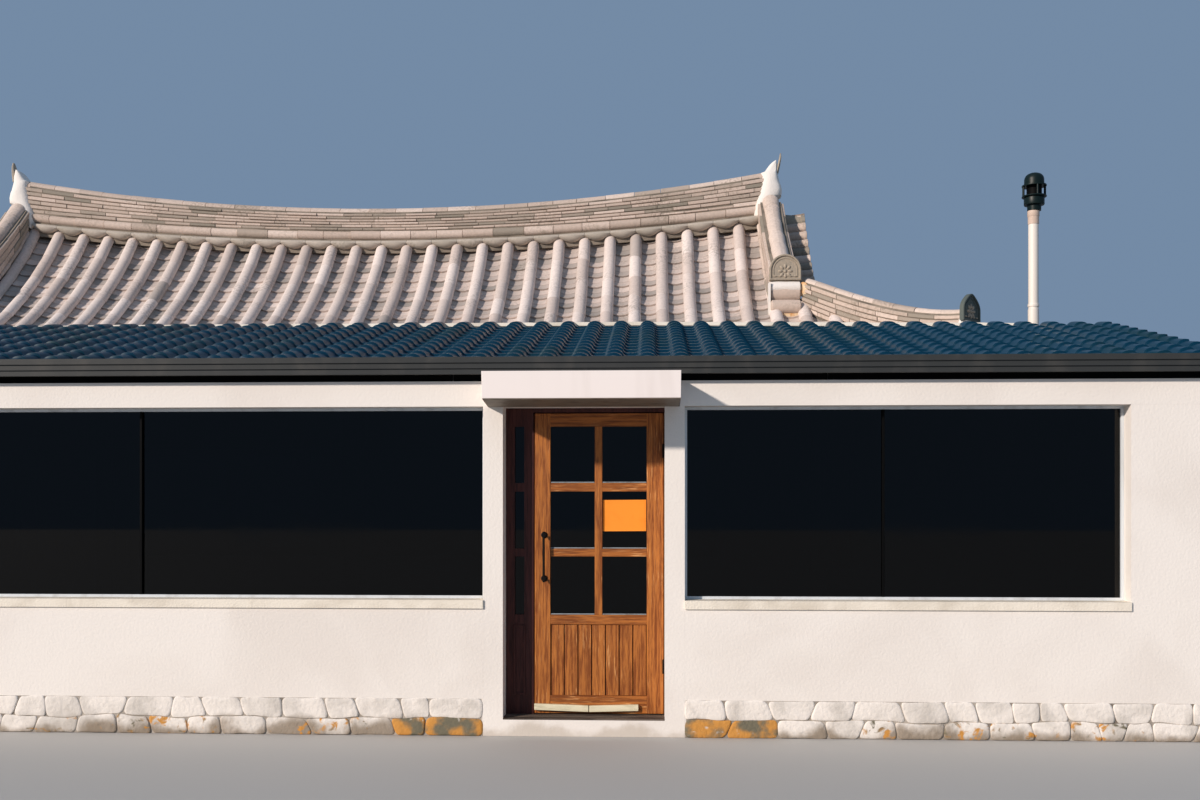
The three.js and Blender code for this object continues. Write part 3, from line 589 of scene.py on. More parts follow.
@dataclass(frozen=True)
class WoodFinish(Finish):
    """Boards with their grain, worn in places."""

    light: Colour = linear(176, 116, 66)
    dark: Colour = linear(112, 66, 36)
    worn: Colour = linear(150, 120, 92)
    wear: float = 0.5
    stretch: Point = (22.0, 22.0, 1.6)

    def surface(self, graph: Graph, effects: Effects, coordinate: Socket, tone: Socket) -> Surface:
        """Grain along the boards."""
        return graph.effect(effects.grain, {
            "Coordinate": coordinate, "Stretch": self.stretch, "Tone": tone, "Light": self.light,
            "Dark": self.dark, "Worn": self.worn, "Wear": self.wear})


@dataclass(frozen=True)
class CoatedFinish(Finish):
    """Painted metal, plastic or paper with runs of dirt."""

    base: Colour = linear(188, 188, 188)
    dirt: Colour = linear(124, 124, 124)
    amount: float = 0.4
    stretch: Point = (9.0, 9.0, 0.8)

    def surface(self, graph: Graph, effects: Effects, coordinate: Socket, tone: Socket) -> Surface:
        """A coat with dirt in streaks."""
        return graph.effect(effects.streaks, {
            "Coordinate": coordinate, "Stretch": self.stretch, "Color": self.base, "Dirt": self.dirt,
            "Amount": self.amount})


@dataclass(frozen=True)
class GlassFinish:
    """Clear glass with a dark tint; the tint is painted shade for the unlit rooms behind it."""

    name: str
    tint: Colour
    roughness: Span = (0.02, 0.09)
    bending: float = 1.45
    specular: float = 0.08

    def material(self, effects: Effects) -> bpy.types.Material:
        """Builds the material.

        Args:
            effects: the shared effects, of which glass uses the patina for its faint smears.

        Returns:
            The material.
        """
        made = bpy.data.materials.new(self.name)
        made.use_nodes = True
        graph = Graph(made.node_tree)
        shader = made.node_tree.nodes["Principled BSDF"]
        shader.inputs["Transmission Weight"].default_value = 1.0
        shader.inputs["IOR"].default_value = self.bending
        shader.inputs["Specular IOR Level"].default_value = self.specular
        colour, smears, _ = graph.effect(effects.patina, {
            "Coordinate": graph.add("ShaderNodeTexCoord").outputs["Object"], "Base": self.tint,
            "Stain": tuple(0.8 * c for c in self.tint[:3]) + (1.0,), "Scale": 0.8, "Amount": 0.6,
            "Fine Scale": 30.0})
        graph.feed(shader.inputs["Base Color"], colour)
        graph.feed(shader.inputs["Roughness"], graph.ranged(smears, (0.0, 1.0), self.roughness))
        return made


class Finishes:
    """Every finish of the house, built once."""

    PLASTER = MineralFinish("lime plaster", (0.86, 0.95), 0.004, base=linear(238, 232, 225),
                            stain=linear(221, 213, 205), scale=0.9, amount=0.5, fine=55.0,
                            grime=linear(176, 162, 144), grime_reach=0.10, grime_amount=0.5)
    RUBBLE = StoneFinish("whitewashed rubble", (0.85, 0.97), 0.010, base=linear(236, 229, 221),
                         stain=linear(198, 192, 184), scale=4.0, amount=0.8, fine=36.0,
                         grime=linear(132, 116, 96), grime_reach=0.10, grime_amount=0.8)
    # Backing behind the stones: its darker colour is partly the joints' own and partly painted shade inside
    # the open joints.
    JOINT_AND_SHADE = MineralFinish("open stone joints with painted shade", (0.9, 0.98), 0.004, base=linear(182, 174, 164),
                          stain=linear(108, 99, 89), scale=3.0, amount=0.8)
    MORTAR = MineralFinish("cream mortar", (0.85, 0.95), 0.006, base=linear(237, 229, 215),
                           stain=linear(204, 194, 178), scale=3.5, amount=0.6, fine=70.0)
    BEDDING = MineralFinish("ridge bedding", (0.88, 0.97), 0.006, base=linear(146, 136, 124),
                            stain=linear(104, 98, 90), scale=3.5, amount=0.8, fine=70.0)
    STAINED = MineralFinish("orange stained mortar", (0.85, 0.95), 0.006, base=linear(226, 204, 172),
                            stain=linear(206, 150, 92), scale=9.0, amount=0.9, fine=70.0)
    CONCRETE = MineralFinish("concrete", (0.8, 0.95), 0.003, base=linear(152, 148, 140),
                             stain=linear(116, 112, 106), scale=2.0, amount=0.7, fine=120.0)
    TILE = TileFinish("roof tile", (0.74, 0.92), 0.003, pale=linear(234, 221, 213),
                      warm=linear(210, 195, 186), cool=linear(160, 153, 147), moss=linear(132, 126, 114),
                      weather=0.35)
    RIDGE_TILE = TileFinish("ridge tile", (0.76, 0.93), 0.003, pale=linear(224, 207, 195),
                            warm=linear(203, 185, 172), cool=linear(150, 142, 130), moss=linear(122, 114, 98))
    CLOSURE_TILE = TileFinish("closure tile", (0.76, 0.93), 0.003, pale=linear(202, 192, 182),
                              warm=linear(188, 178, 166), cool=linear(160, 156, 144),
                              moss=linear(126, 122, 106))
    # Its dark cool colour is painted shade on the hip end tiles, whose tone of 0 takes it in full; other end
    # tiles show it only a little and in their speckles.
    END_TILE = TileFinish("relief end tile", (0.7, 0.9), 0.003, cool=linear(96, 104, 100), weather=0.7)
    DOOR_WOOD = WoodFinish("varnished door wood", (0.40, 0.66), 0.0012, light=linear(190, 124, 64),
                           dark=linear(134, 79, 40), worn=linear(226, 172, 116), wear=0.85,
                           stretch=(60.0, 60.0, 3.2))
    RAIL_WOOD = WoodFinish("varnished rail wood", (0.40, 0.66), 0.0012, light=linear(186, 120, 62),
                           dark=linear(130, 77, 39), worn=linear(224, 172, 118), wear=0.85,
                           stretch=(3.2, 60.0, 60.0))
    # Dark wood behind the panel boards: painted shade in the grooves between them.
    GROOVE_SHADE = WoodFinish("board grooves with painted shade", (0.6, 0.8), 0.001, light=linear(84, 42, 24), dark=linear(52, 26, 18),
                        worn=linear(84, 42, 24), wear=0.1)
    # A darker, redder copy of the door's wood for the frame and the sidelight: partly their own colour,
    # partly painted shade.
    MAROON_AND_SHADED_WOOD = WoodFinish("maroon wood with painted shade", (0.5, 0.72), 0.0010, light=linear(96, 54, 48),
                             dark=linear(70, 38, 34), worn=linear(104, 70, 60), stretch=(50.0, 50.0, 3.0))
    TIMBER = WoodFinish("oiled timber", (0.55, 0.8), 0.003, light=linear(138, 98, 62),
                        dark=linear(92, 62, 38), worn=linear(150, 122, 92), stretch=(26.0, 26.0, 1.8))
    RAFTER_WOOD = WoodFinish("rafter timber", (0.6, 0.85), 0.003, light=linear(128, 92, 60),
                             dark=linear(84, 58, 38), worn=linear(140, 116, 90), stretch=(9.0, 9.0, 9.0))
    GREY_WOOD = WoodFinish("weathered grey wood", (0.7, 0.9), 0.003, light=linear(116, 106, 98),
                           dark=linear(74, 66, 60), worn=linear(150, 136, 116), wear=0.6,
                           stretch=(1.6, 22.0, 22.0))
    IRON = CoatedFinish("dark iron", (0.38, 0.6), 0.0008, metallic=0.8, base=linear(46, 44, 43),
                        dirt=linear(92, 62, 40), amount=0.35)
    FRAME = CoatedFinish("pale window frame", (0.4, 0.6), 0.0004, base=linear(214, 219, 222),
                         dirt=linear(150, 148, 142), amount=0.4)
    SIGN = CoatedFinish("bare sign panel", (0.45, 0.6), 0.0005, base=linear(243, 234, 229),
                        dirt=linear(222, 212, 206), amount=0.5, stretch=(5.0, 5.0, 0.9))
    # Darker tray under the sign: partly its own colour, partly painted shade of the underside and lower edge.
    SIGN_TRAY_SHADE = CoatedFinish("sign box tray with painted shade", (0.5, 0.65), 0.0005, base=linear(134, 124, 112),
                             dirt=linear(90, 82, 74), amount=0.5)
    TEAL = CoatedFinish("teal roof sheet", (0.30, 0.46), 0.0004, specular=0.3, base=linear(6, 58, 80),
                        dirt=linear(26, 58, 62), amount=0.6, stretch=(2.0, 0.6, 2.0))
    CHARCOAL = CoatedFinish("charcoal gutter", (0.45, 0.65), 0.0006, specular=0.3, base=linear(66, 68, 68),
                            dirt=linear(90, 88, 84), amount=0.4, stretch=(6.0, 6.0, 3.0))
    PIPE = CoatedFinish("off-white pipe", (0.45, 0.65), 0.0006, base=linear(236, 228, 218),
                        dirt=linear(200, 186, 168), amount=0.5, stretch=(14.0, 14.0, 0.7))
    COLLAR = CoatedFinish("pinkish pipe collar", (0.5, 0.7), 0.0006, base=linear(216, 194, 178),
                          dirt=linear(176, 160, 142), amount=0.5, stretch=(14.0, 14.0, 3.0))
    CAP = CoatedFinish("green vent cap", (0.4, 0.6), 0.0008, specular=0.3, base=linear(22, 38, 38),
                       dirt=linear(34, 42, 40), amount=0.5)
    STRIP = CoatedFinish("cream door strip", (0.5, 0.7), 0.0008, base=linear(226, 218, 190),
                         dirt=linear(158, 150, 122), amount=0.6, stretch=(6.0, 6.0, 30.0))
    # Its bluish grey is a painted reflection of the sky on the top edges of the door's rails.
    PUTTY_SKY_SHEEN = CoatedFinish("glazing putty with painted sky reflection", (0.5, 0.7), 0.0006, base=linear(150, 158, 164),
                         dirt=linear(112, 104, 98), amount=0.6, stretch=(20.0, 20.0, 20.0))
    PAPER = CoatedFinish("orange paper", (0.7, 0.85), 0.0004, base=linear(250, 158, 58),
                         dirt=linear(240, 140, 46), amount=0.5, stretch=(8.0, 8.0, 8.0))
    # Black for real seals, and painted shade where it fills the recess under the gutter.
    BLACK_SEAL_AND_SHADE = CoatedFinish("black seal and painted shade", (0.6, 0.8), 0.0004, specular=0.1, base=linear(16, 17, 18),
                          dirt=linear(30, 30, 30), amount=0.4)
    # The near-black tint is painted shade of the rooms behind the glass.
    GLASS = GlassFinish("window glass with painted interior shade", (0.015, 0.022, 0.028, 1.0))

    def __init__(self, effects: Effects) -> None:
        """Builds every material from the finishes above."""
        listed = [value for value in vars(Finishes).values() if isinstance(value, (Finish, GlassFinish))]
        self._made = {id(finish): finish.material(effects) for finish in listed}

    def of(self, finish: Finish | GlassFinish) -> bpy.types.Material:
        """The material of a finish."""
        return self._made[id(finish)]

    def several(self, *finishes: Finish | GlassFinish) -> list[bpy.types.Material]:
        """The materials of some finishes, in their order."""
        return [self.of(finish) for finish in finishes]


# Tiled roof


@dataclass(frozen=True)
class RoofForm:
    """The curved surface that the tops of the cover tiles follow."""

    half: float = 6.4
    front: float = 2.9
    ridge: float = 5.7
    eave_height: float = 3.026
    gable: float = 4.72
    thickness: float = 0.17
    slope: float = 0.194
    steepening: float = 0.15644
    ridge_curve: float = 0.012
    corner_lift: float = 0.338
    ridge_clear: float = 0.155
    gable_clear: float = 0.02

    @property
    def depth(self) -> float:
        """From an eave in to the ridge."""
        return self.ridge - self.front

    def profile(self, inward: float) -> float:
        """Height at a distance in from the eave, at the middle of a slope."""
        return self.eave_height + self.slope * inward + self.steepening * inward * inward

    def _ridge_rise(self, x: float, inward: float) -> float:
        """How much the ridge line's own curve lifts a place."""
        return self.ridge_curve * (inward / self.depth) ** 2 * x * x

    def _corner_rise(self, x: float, inward: float) -> float:
        """How much the upturned corners lift a place."""
        return self.corner_lift * (1 - inward / self.depth) ** 2 * (x / self.half) ** 4

    def main(self, x: float, y: float) -> float:
        """Height of the front and back slopes."""
        inward = self.depth - abs(y - self.ridge)
        return self.profile(inward) + self._ridge_rise(x, inward) + self._corner_rise(x, inward)

    def skirt(self, x: float, y: float) -> float:
        """Height of the slopes under the gables."""
        inward = self.half - abs(x)
        across = abs(y - self.ridge) / (self.depth - inward)
        return (self.profile(inward) + self._ridge_rise(x, inward) * across ** 2
                + self._corner_rise(x, inward) * across ** 4)

    def hip(self, x: float, y: float) -> float:
        """Height along the line where a skirt meets a main slope."""
        on_skirt = self.half - abs(x) < self.depth - abs(y - self.ridge)
        return self.skirt(x, y) if on_skirt else self.main(x, y)


class Side(Enum):
    """The four slopes, each with its word in the names."""

    FRONT = "front"
    BACK = "back"
    LEFT = "left"
    RIGHT = "right"


@dataclass(frozen=True)
class Slope:
    """One slope, whose places are given along its eave and in from it."""

    form: RoofForm
    side: Side

    @property
    def is_main(self) -> bool:
        """Whether it is the front or the back slope."""
        return self.side in (Side.FRONT, Side.BACK)

    @property
    def half_length(self) -> float:
        """Half the length of its eave."""
        return self.form.half if self.is_main else self.form.depth

    def point(self, along: float, inward: float) -> Vector:
        """A place on the slope."""
        form = self.form
        if self.is_main:
            y = form.front + inward if self.side is Side.FRONT else 2 * form.ridge - form.front - inward
            return Vector((along, y, form.main(along, y)))
        x = form.half - inward if self.side is Side.RIGHT else inward - form.half
        return Vector((x, form.ridge + along, form.skirt(x, form.ridge + along)))

    def axes(self, along: float, inward: float) -> tuple[Vector, Vector, Vector]:
        """Unit vectors along the eave, up the slope and out of it."""
        step = 0.02
        up = self.point(along, inward + step) - self.point(along, inward - step)
        across = Vector((1, 0, 0)) if self.is_main else Vector((0, 1, 0))
        up.normalize()
        out = across.cross(up)
        if out.z < 0:
            out.negate()
        return across, up, out.normalized()

    def reach(self, along: float, clear: float) -> float:
        """How far in a row of tiles runs, clear of the hip by a distance."""
        form = self.form
        inner = form.depth - form.ridge_clear if self.is_main else form.half - form.gable - form.gable_clear
        if self.is_main and abs(along) < form.gable:
            return inner
        return min(inner, self.half_length - abs(along) - clear)


@dataclass
class TiledRoof:
    """Cover and pan tiles of the four slopes, with their boards and rafters."""

    finishes: Finishes
    form: RoofForm = field(default_factory=RoofForm)
    pitch: float = 0.3015
    phase: float = 0.209
    cover_half: float = 0.069
    cover_rise: float = 0.064
    cover_length: float = 0.31
    cover_clear: float = 0.10
    cover_shortest: float = 0.18
    cover_tucked: Span = (0.06, 0.030)
    cover_tone: Span = (0.72, 0.17)
    cover_nose: tuple[Span, ...] = ((0.018, 0.94), (0.032, 0.82), (0.042, 0.62), (0.047, 0.34))
    pan_half: float = 0.138
    pan_edge: float = 0.054
    pan_sag: float = 0.052
    pan_length: float = 0.106
    pan_thickness: float = 0.016
    pan_clear: float = 0.16
    pan_tucked: float = 0.06
    pan_lap: float = 0.035
    # Pans are drawn darker than the covers: partly their own random tone, partly painted shade cast by the
    # covers.
    pan_shade_tone: Span = (0.34, 0.15)
    pan_lips: Span = (0.022, 0.009)
    rafter_pitch: float = 0.42
    rafter_radius: float = 0.055
    rafter_span: Span = (0.07, 0.98)
    disc: tuple[Span, ...] = ((0.070, 0.035), (0.072, 0.003), (0.066, 0.0), (0.058, 0.0), (0.054, 0.006),
                              (0.022, 0.007), (0.018, 0.002), (0.004, 0.001))

    def build(self) -> None:
        """Builds the four slopes."""
        for side in Side:
            slope = Slope(self.form, side)
            draft = Draft()
            rng = random.Random(f"tiles {side.value}")
            self._deck(draft, slope)
            count = int(slope.half_length / self.pitch) + 1
            for k in range(-count, count + 1):
                along = self.phase + k * self.pitch if slope.is_main else k * self.pitch
                self._covers(draft, slope, along, rng)
                self._pans(draft, slope, along + self.pitch / 2, rng)
            if side is not Side.FRONT:
                self._rafters(draft, slope)
            made = self.finishes.several(Finishes.TILE, Finishes.TIMBER, Finishes.RAFTER_WOOD)
            place(draft.build(f"tiles_{side.value}", made), Body.HOUSE, "roof_tile", f"roof_{side.value}")

    def _deck(self, draft: Draft, slope: Slope) -> None:
        """Boards and clay under the tiles, out to the hips."""
        columns, rows = 24, 12
        inner = self.form.depth if slope.is_main else self.form.half - self.form.gable
        under_pans = self.pan_edge + self.pan_sag + self.pan_thickness + 0.004

        def row(inward: float, board: float) -> list[Vector]:
            half = slope.half_length - inward
            if slope.is_main:
                half = max(half, self.form.gable)
            half -= 0.01
            found = [slope.point(half * (2 * c / columns - 1), inward) for c in range(columns + 1)]
            steep = slope.axes(0.0, min(inward, inner - 0.03))[2].z
            drop = under_pans / steep
            if board:
                drop = max(self.form.thickness, drop + board)
            return [Vector((p.x, p.y, p.z - drop)) for p in found]

        places = [0.012 + (inner - 0.014) * r / rows for r in range(rows + 1)]
        draft.sheet([row(p, 0.0) for p in places], [row(p, 0.03) for p in places], 0.4, 1)

    def _covers(self, draft: Draft, slope: Slope, along: float, rng: random.Random) -> None:
        """One row of half-round tiles from the eave up."""
        end = slope.reach(along, self.cover_clear)
        lifted = 0.0
        if slope.is_main and abs(along) < self.form.gable:
            end, lifted = end + self.cover_tucked[0], self.cover_tucked[1]
        start = 0.0 if slope.side is Side.FRONT else 0.004
        if end - start < self.cover_shortest:
            return
        count = max(1, round((end - start) / self.cover_length))
        length = (end - start) / count
        for k in range(count):
            low, high = start + k * length, start + (k + 1) * length
            tone = drawn_tone(rng, *self.cover_tone)
            sway = rng.uniform(-0.003, 0.003)
            stations = [(low, 1.012), (min(high + 0.015, end), 0.988)]
            if k == count - 1:
                stations += [(end + ahead, scale) for ahead, scale in self.cover_nose]
            draft.loft([self._arch(slope, along + sway, inward, scale,
                                   lifted * max(0.0, 1 - (end - inward) / 0.5) ** 2)
                        for inward, scale in stations], tone)
        if slope.side is not Side.FRONT:
            self._end_disc(draft, slope, along)

    def _arch(self, slope: Slope, along: float, inward: float, scale: float, lift: float) -> list[Vector]:
        """Section of a cover tile, its crown on the roof's surface or lifted a little off it."""
        across, _, out = slope.axes(along, min(inward, self.form.depth - 0.03))
        foot = slope.point(along, inward) - out * (self.cover_rise - lift)
        return [foot + across * self.cover_half * scale * math.cos(a)
                + out * self.cover_rise * scale * math.sin(a) for a in half_turn(9)]

    def _end_disc(self, draft: Draft, slope: Slope, along: float) -> None:
        """Round face that closes a row at an open eave."""
        across, up, out = slope.axes(along, 0.02)
        middle = slope.point(along, 0.004) - out * 0.05
        forward = Vector((-up.x, -up.y, 0)).normalized()

        def ring(radius: float, ahead: float) -> list[Vector]:
            return [middle - forward * ahead + across * radius * math.cos(a)
                    + Vector((0, 0, radius * math.sin(a))) for a in full_turn(14)]

        draft.loft([ring(*step) for step in self.disc], 0.45)

    def _pans(self, draft: Draft, slope: Slope, along: float, rng: random.Random) -> None:
        """One row of hollow tiles, each lapping over the one below it."""
        end = slope.reach(along, self.pan_clear) + self.pan_tucked
        if end < self.pan_clear:
            return
        low, k = 0.008, 0
        while low < end - 0.03:
            high = low + self.pan_length * slope.axes(along, low)[2].z
            # The pan's darker tone is partly painted shade from the covers beside it.
            tone = drawn_tone(rng, *self.pan_shade_tone)
            rings = [self._hollow(slope, along, low, self.pan_lips[k % 2]),
                     self._hollow(slope, along, min(end, high + self.pan_lap), -0.002)]
            draft.loft(rings, tone)
            low, k = high, k + 1

    def _hollow(self, slope: Slope, along: float, inward: float, lift: float) -> list[Vector]:
        """Section of a pan tile, lifted off the one below it."""
        sides = 8
        across, _, out = slope.axes(along, min(max(inward, 0.02), self.form.depth - 0.03))
        base = slope.point(along, inward)
        top, bottom = [], []
        for j in range(sides + 1):
            share = 2 * j / sides - 1
            drop = self.pan_edge + self.pan_sag * (1 - share * share) - lift
            place_on = base + across * self.pan_half * share
            top.append(place_on - out * drop)
            bottom.append(place_on - out * (drop + self.pan_thickness))
        return top + bottom[::-1]

    def _rafters(self, draft: Draft, slope: Slope) -> None:
        """Round rafters under an open eave."""
        count = int(slope.half_length / self.rafter_pitch)
        sunk = self.form.thickness + self.rafter_radius * 0.5
        for k in range(-count, count + 1):
            along = k * self.rafter_pitch
            start, end = self.rafter_span[0], min(self.rafter_span[1], slope.half_length - abs(along) - 0.17)
            if end < start + 0.2:
                continue
            places = [slope.point(along, inward) - Vector((0, 0, sunk)) for inward in (start, end)]
            draft.tube(places, self.rafter_radius, 12, 0.3 + 0.1 * (k % 4), 2)


# Ridges


class CourseShape(Enum):
    """How the tiles of a ridge course are shaped."""

    FLAT = "flat"
    ROLL = "roll"
    CAP = "cap"


@dataclass(frozen=True)
class Course:
    """One course of a ridge."""

    shape: CourseShape
    half: float
    tile: float
    tone: float = 0.5
    order: int = 0

    def section(self, low: float, high: float, grow: float) -> list[Span]:
        """Outline of a tile of the course.

        Args:
            low: height of the course's foot.
            high: height of its top.
            grow: how much wider than usual this tile sits.

        Returns:
            Places across the ridge and up.
        """
        half, middle = self.half + grow, (low + high) / 2
        if self.shape is CourseShape.FLAT:
            chamfer = min(0.006, (high - low) / 4)
            right = [(half - chamfer, low), (half, low + chamfer), (half, high - chamfer),
                     (half - chamfer, high)]
        elif self.shape is CourseShape.ROLL:
            radius = (high - low) / 2
            turn = [math.pi * (j / 8 - 0.5) for j in range(9)]
            right = [(half - radius * (1 - math.cos(a)), middle + radius * math.sin(a)) for a in turn]
        else:
            right = [(half, low)] + [(half * math.cos(a), low + 0.01 + (high - low - 0.01) * math.sin(a))
                                     for a in half_turn(12)[:7]]
        return right + [(-a, b) for a, b in reversed(right)]


@dataclass(frozen=True)
class Coursework:
    """How a ridge is laid: a roll at its foot, flat courses over it and a rounded cap."""

    roll: float
    flats: int
    cap: float
    widths: tuple[float, float, float]
    lengths: tuple[float, float, float]
    buried: float = 0.12

    def courses(self) -> list[Course]:
        """Its courses from below."""
        laid = [Course(CourseShape.ROLL, self.widths[0], self.lengths[0], 0.55)] if self.roll else []
        laid += [Course(CourseShape.FLAT, self.widths[1] + 0.002 * (k % 2),
                        self.lengths[1] * (1 + 0.12 * (k % 3)), 0.45, k) for k in range(self.flats)]
        return laid + [Course(CourseShape.CAP, self.widths[2], self.lengths[2], 0.7)]

    def bounds(self, course: Course, foot: float, top: float) -> Span:
        """Foot and top of a course where the whole ridge goes from foot to top."""
        if course.shape is CourseShape.ROLL:
            return foot, foot + self.roll
        if course.shape is CourseShape.CAP:
            return top - self.cap, top
        step = (top - self.cap - foot - self.roll) / self.flats
        return foot + self.roll + step * course.order, foot + self.roll + step * (course.order + 1)


@dataclass(frozen=True)
class RidgePath:
    """The line of a ridge: place gives its middle, foot, top and direction across at a share of the way."""

    place: Callable[[float], tuple[Vector, float, float, Vector]]
    length: float
    lean: float = 0.0
    cracked: bool = False

    def ring(self, share: float, section: Callable[[float, float], list[Span]]) -> list[Vector]:
        """A section set across the ridge at a share of the way."""
        middle, foot, top, across = self.place(share)
        return [Vector((middle.x + across.x * a, middle.y + across.y * a, b)) for a, b in section(foot, top)]


@dataclass
class Ridges:
    """The main ridge, and the ridges that run down from it and along the hips.

    A plaster level has a height with its inner and outer edge, and a horn level its place, height, half width
    and depth. A foot roll has its height, its place ahead, half depth, half height, half length and finish.
    """

    finishes: Finishes
    form: RoofForm = field(default_factory=RoofForm)
    half: float = 4.54
    lean: float = 0.19
    joint: float = 0.006
    crack: Span = (3.33, 3.78)
    crack_depth: float = 0.014
    tone_spread: float = 0.22
    main_work: Coursework = Coursework(0.114, 6, 0.088, (0.142, 0.120, 0.100), (0.33, 0.29, 0.32), 0.16)
    side_work: Coursework = Coursework(0.088, 3, 0.105, (0.158, 0.148, 0.088), (0.30, 0.27, 0.28))
    hip_work: Coursework = Coursework(0.0, 6, 0.070, (0.0, 0.118, 0.070), (0.0, 0.25, 0.27))
    crown: Span = (5.150, 0.019)
    closure_stations: tuple[float, ...] = (-1.0, -0.85, -0.6, -0.3, 0.0, 0.3, 0.6, 0.85, 1.0)
    closure_end: float = 4.45
    side_inward: Span = (2.635, 1.53)
    side_outward: Span = (4.497, 4.516)
    side_rise: Span = (0.386, 0.492)
    hip_inward: Span = (1.60, 0.265)
    hip_rise: Span = (0.205, 0.168)
    plaster_levels: tuple[Point, ...] = (
        (4.925, 4.335, 4.36), (4.97, 4.305, 4.42), (5.037, 4.292, 4.46), (5.10, 4.308, 4.50),
        (5.17, 4.328, 4.54), (5.215, 4.342, 4.595), (5.235, 4.348, 4.636), (5.30, 4.364, 4.642),
        (5.36, 4.375, 4.630), (5.40, 4.384, 4.612), (5.45, 4.393, 4.602), (5.50, 4.385, 4.592),
        (5.515, 4.43, 4.590), (5.56, 4.462, 4.588), (5.60, 4.492, 4.584), (5.63, 4.522, 4.582),
        (5.652, 4.555, 4.578))
    horn_levels: tuple[tuple[float, ...], ...] = (
        (4.575, 5.50, 0.10, 0.045), (4.598, 5.58, 0.085, 0.034), (4.615, 5.65, 0.06, 0.027),
        (4.625, 5.70, 0.04, 0.022), (4.628, 5.748, 0.018, 0.012))
    foot_rolls: tuple[tuple[float, ...], ...] = (
        (0.105, 0.012, 0.094, 0.112, 0.166, 0), (0.156, 0.018, 0.094, 0.076, 0.168, 2),
        (-0.062, 0.105, 0.084, 0.080, 0.162, 0), (-0.150, 0.070, 0.060, 0.080, 0.165, 5))

    def build(self) -> None:
        """Builds all nine ridges."""
        self._main()
        for depth_side, facing in ((Side.FRONT, -1), (Side.BACK, 1)):
            for width_side, side in ((Side.LEFT, -1), (Side.RIGHT, 1)):
                word = f"{depth_side.value}_{width_side.value}"
                self._descending(word, side, facing)
                self._hip(word, side, facing)

    def _piece(self, draft: Draft, name: str, node: str) -> None:
        """Makes a ridge's piece with the finishes that all ridges share."""
        made = self.finishes.several(Finishes.RIDGE_TILE, Finishes.BEDDING, Finishes.PLASTER,
                                     Finishes.END_TILE, Finishes.CLOSURE_TILE, Finishes.STAINED)
        place(draft.build(name, made), Body.HOUSE, "roof_tile", node)

    def _courses(self, draft: Draft, path: RidgePath, work: Coursework, rng: random.Random) -> None:
        """Lays every course, tile by tile, over a core of mortar."""
        core_half = min(work.widths[1], 0.13) - 0.010

        def core(foot: float, top: float) -> list[Span]:
            high = top - work.cap + 0.014
            return [(-core_half, foot - work.buried), (core_half, foot - work.buried), (core_half, high),
                    (-core_half, high)]

        inset = path.lean * 0.9
        stations = [inset + (1 - 2 * inset) * k / 16 for k in range(17)]
        draft.loft([path.ring(s, core) for s in stations], 0.5, 1)
        courses = work.courses()
        for number, course in enumerate(courses):
            first = path.lean * (1 - (number + 0.5) / len(courses))
            at, last = first, 1 - first
            tile = course.tile / path.length
            cut = tile * rng.uniform(0.35, 0.95)
            while at < last - 1e-4:
                end = min(last, at + cut)
                if last - end < 0.3 * tile:
                    end = last
                self._tile(draft, path, work, course, (at, end - self.joint / path.length), rng)
                at, cut = end, tile * rng.uniform(0.86, 1.12)

    def _tile(self, draft: Draft, path: RidgePath, work: Coursework, course: Course, span: Span,
              rng: random.Random) -> None:
        """One tile of a course, a little out of line with its neighbours."""
        tone = drawn_tone(rng, course.tone, self.tone_spread)
        grow = rng.uniform(-0.006, 0.006)
        drop = rng.uniform(0.0, 0.004)
        if path.cracked and course.order == 0 and course.shape is CourseShape.FLAT:
            start, end = (self.half * (2 * share - 1) for share in span)
            drop += self.crack_depth if start < self.crack[1] and end > self.crack[0] else 0.0
        gap = 0.003 if course.shape is CourseShape.FLAT else 0.0015

        def outline(foot: float, top: float, swell: float) -> list[Span]:
            low, high = work.bounds(course, foot, top)
            return course.section(low + gap, high - gap - drop, grow + swell)

        flare = 0.0 if course.shape is CourseShape.FLAT else 0.003
        rings = [path.ring(blend_between(*span, share), lambda f, t, w=flare * swell: outline(f, t, w))
                 for share, swell in ((0.0, 1.0), (0.5, 0.0), (1.0, -1.0))]
        draft.loft(rings, tone)

    def _main_spot(self, share: float) -> tuple[Vector, float, float, Vector]:
        """The main ridge at a share of its length."""
        x = self.half * (2 * share - 1)
        foot = self.form.main(x, self.form.ridge + 0.13) + 0.089 + 0.0025 * x * x
        top = self.crown[0] + self.crown[1] * x * x
        return Vector((x, self.form.ridge, 0)), foot, top, Vector((0, 1, 0))

    def _main(self) -> None:
        """The main ridge with its closure tiles, its plastered ends and its horns."""
        rng = random.Random("main ridge")
        draft = Draft()
        path = RidgePath(self._main_spot, 2 * self.half, self.lean / (2 * self.half), True)
        self._courses(draft, path, self.main_work, rng)
        self._closures(draft, rng)
        for side in (-1, 1):
            self._ridge_end(draft, side)
        self._piece(draft, "ridge_courses", "ridge_main")

    def _closures(self, draft: Draft, rng: random.Random) -> None:
        """Half-round tiles under the ridge that close the gaps between the rows, down into the pans."""
        roof = TiledRoof(self.finishes)
        reach = roof.pitch / 2 - 0.0015
        for facing in (-1, 1):
            for k in range(-16, 15):
                along = roof.phase + (k + 0.5) * roof.pitch
                if abs(along) > self.closure_end:
                    continue
                rings = []
                for shift in self.closure_stations:
                    x = along + shift * reach
                    swell = math.cos(math.pi / 2 * shift)
                    foot = self._main_spot((x / self.half + 1) / 2)[1]
                    front, low = 0.056 + 0.016 * swell, 0.018 + 0.054 * swell
                    rings.append([Vector((x, self.form.ridge + facing * (0.115 + front * math.cos(a)),
                                          foot - 0.046 + (0.036 if math.sin(a) > 0 else low) * math.sin(a)))
                                  for a in full_turn(14)])
                draft.loft(rings, rng.uniform(0.3, 0.8), 4)

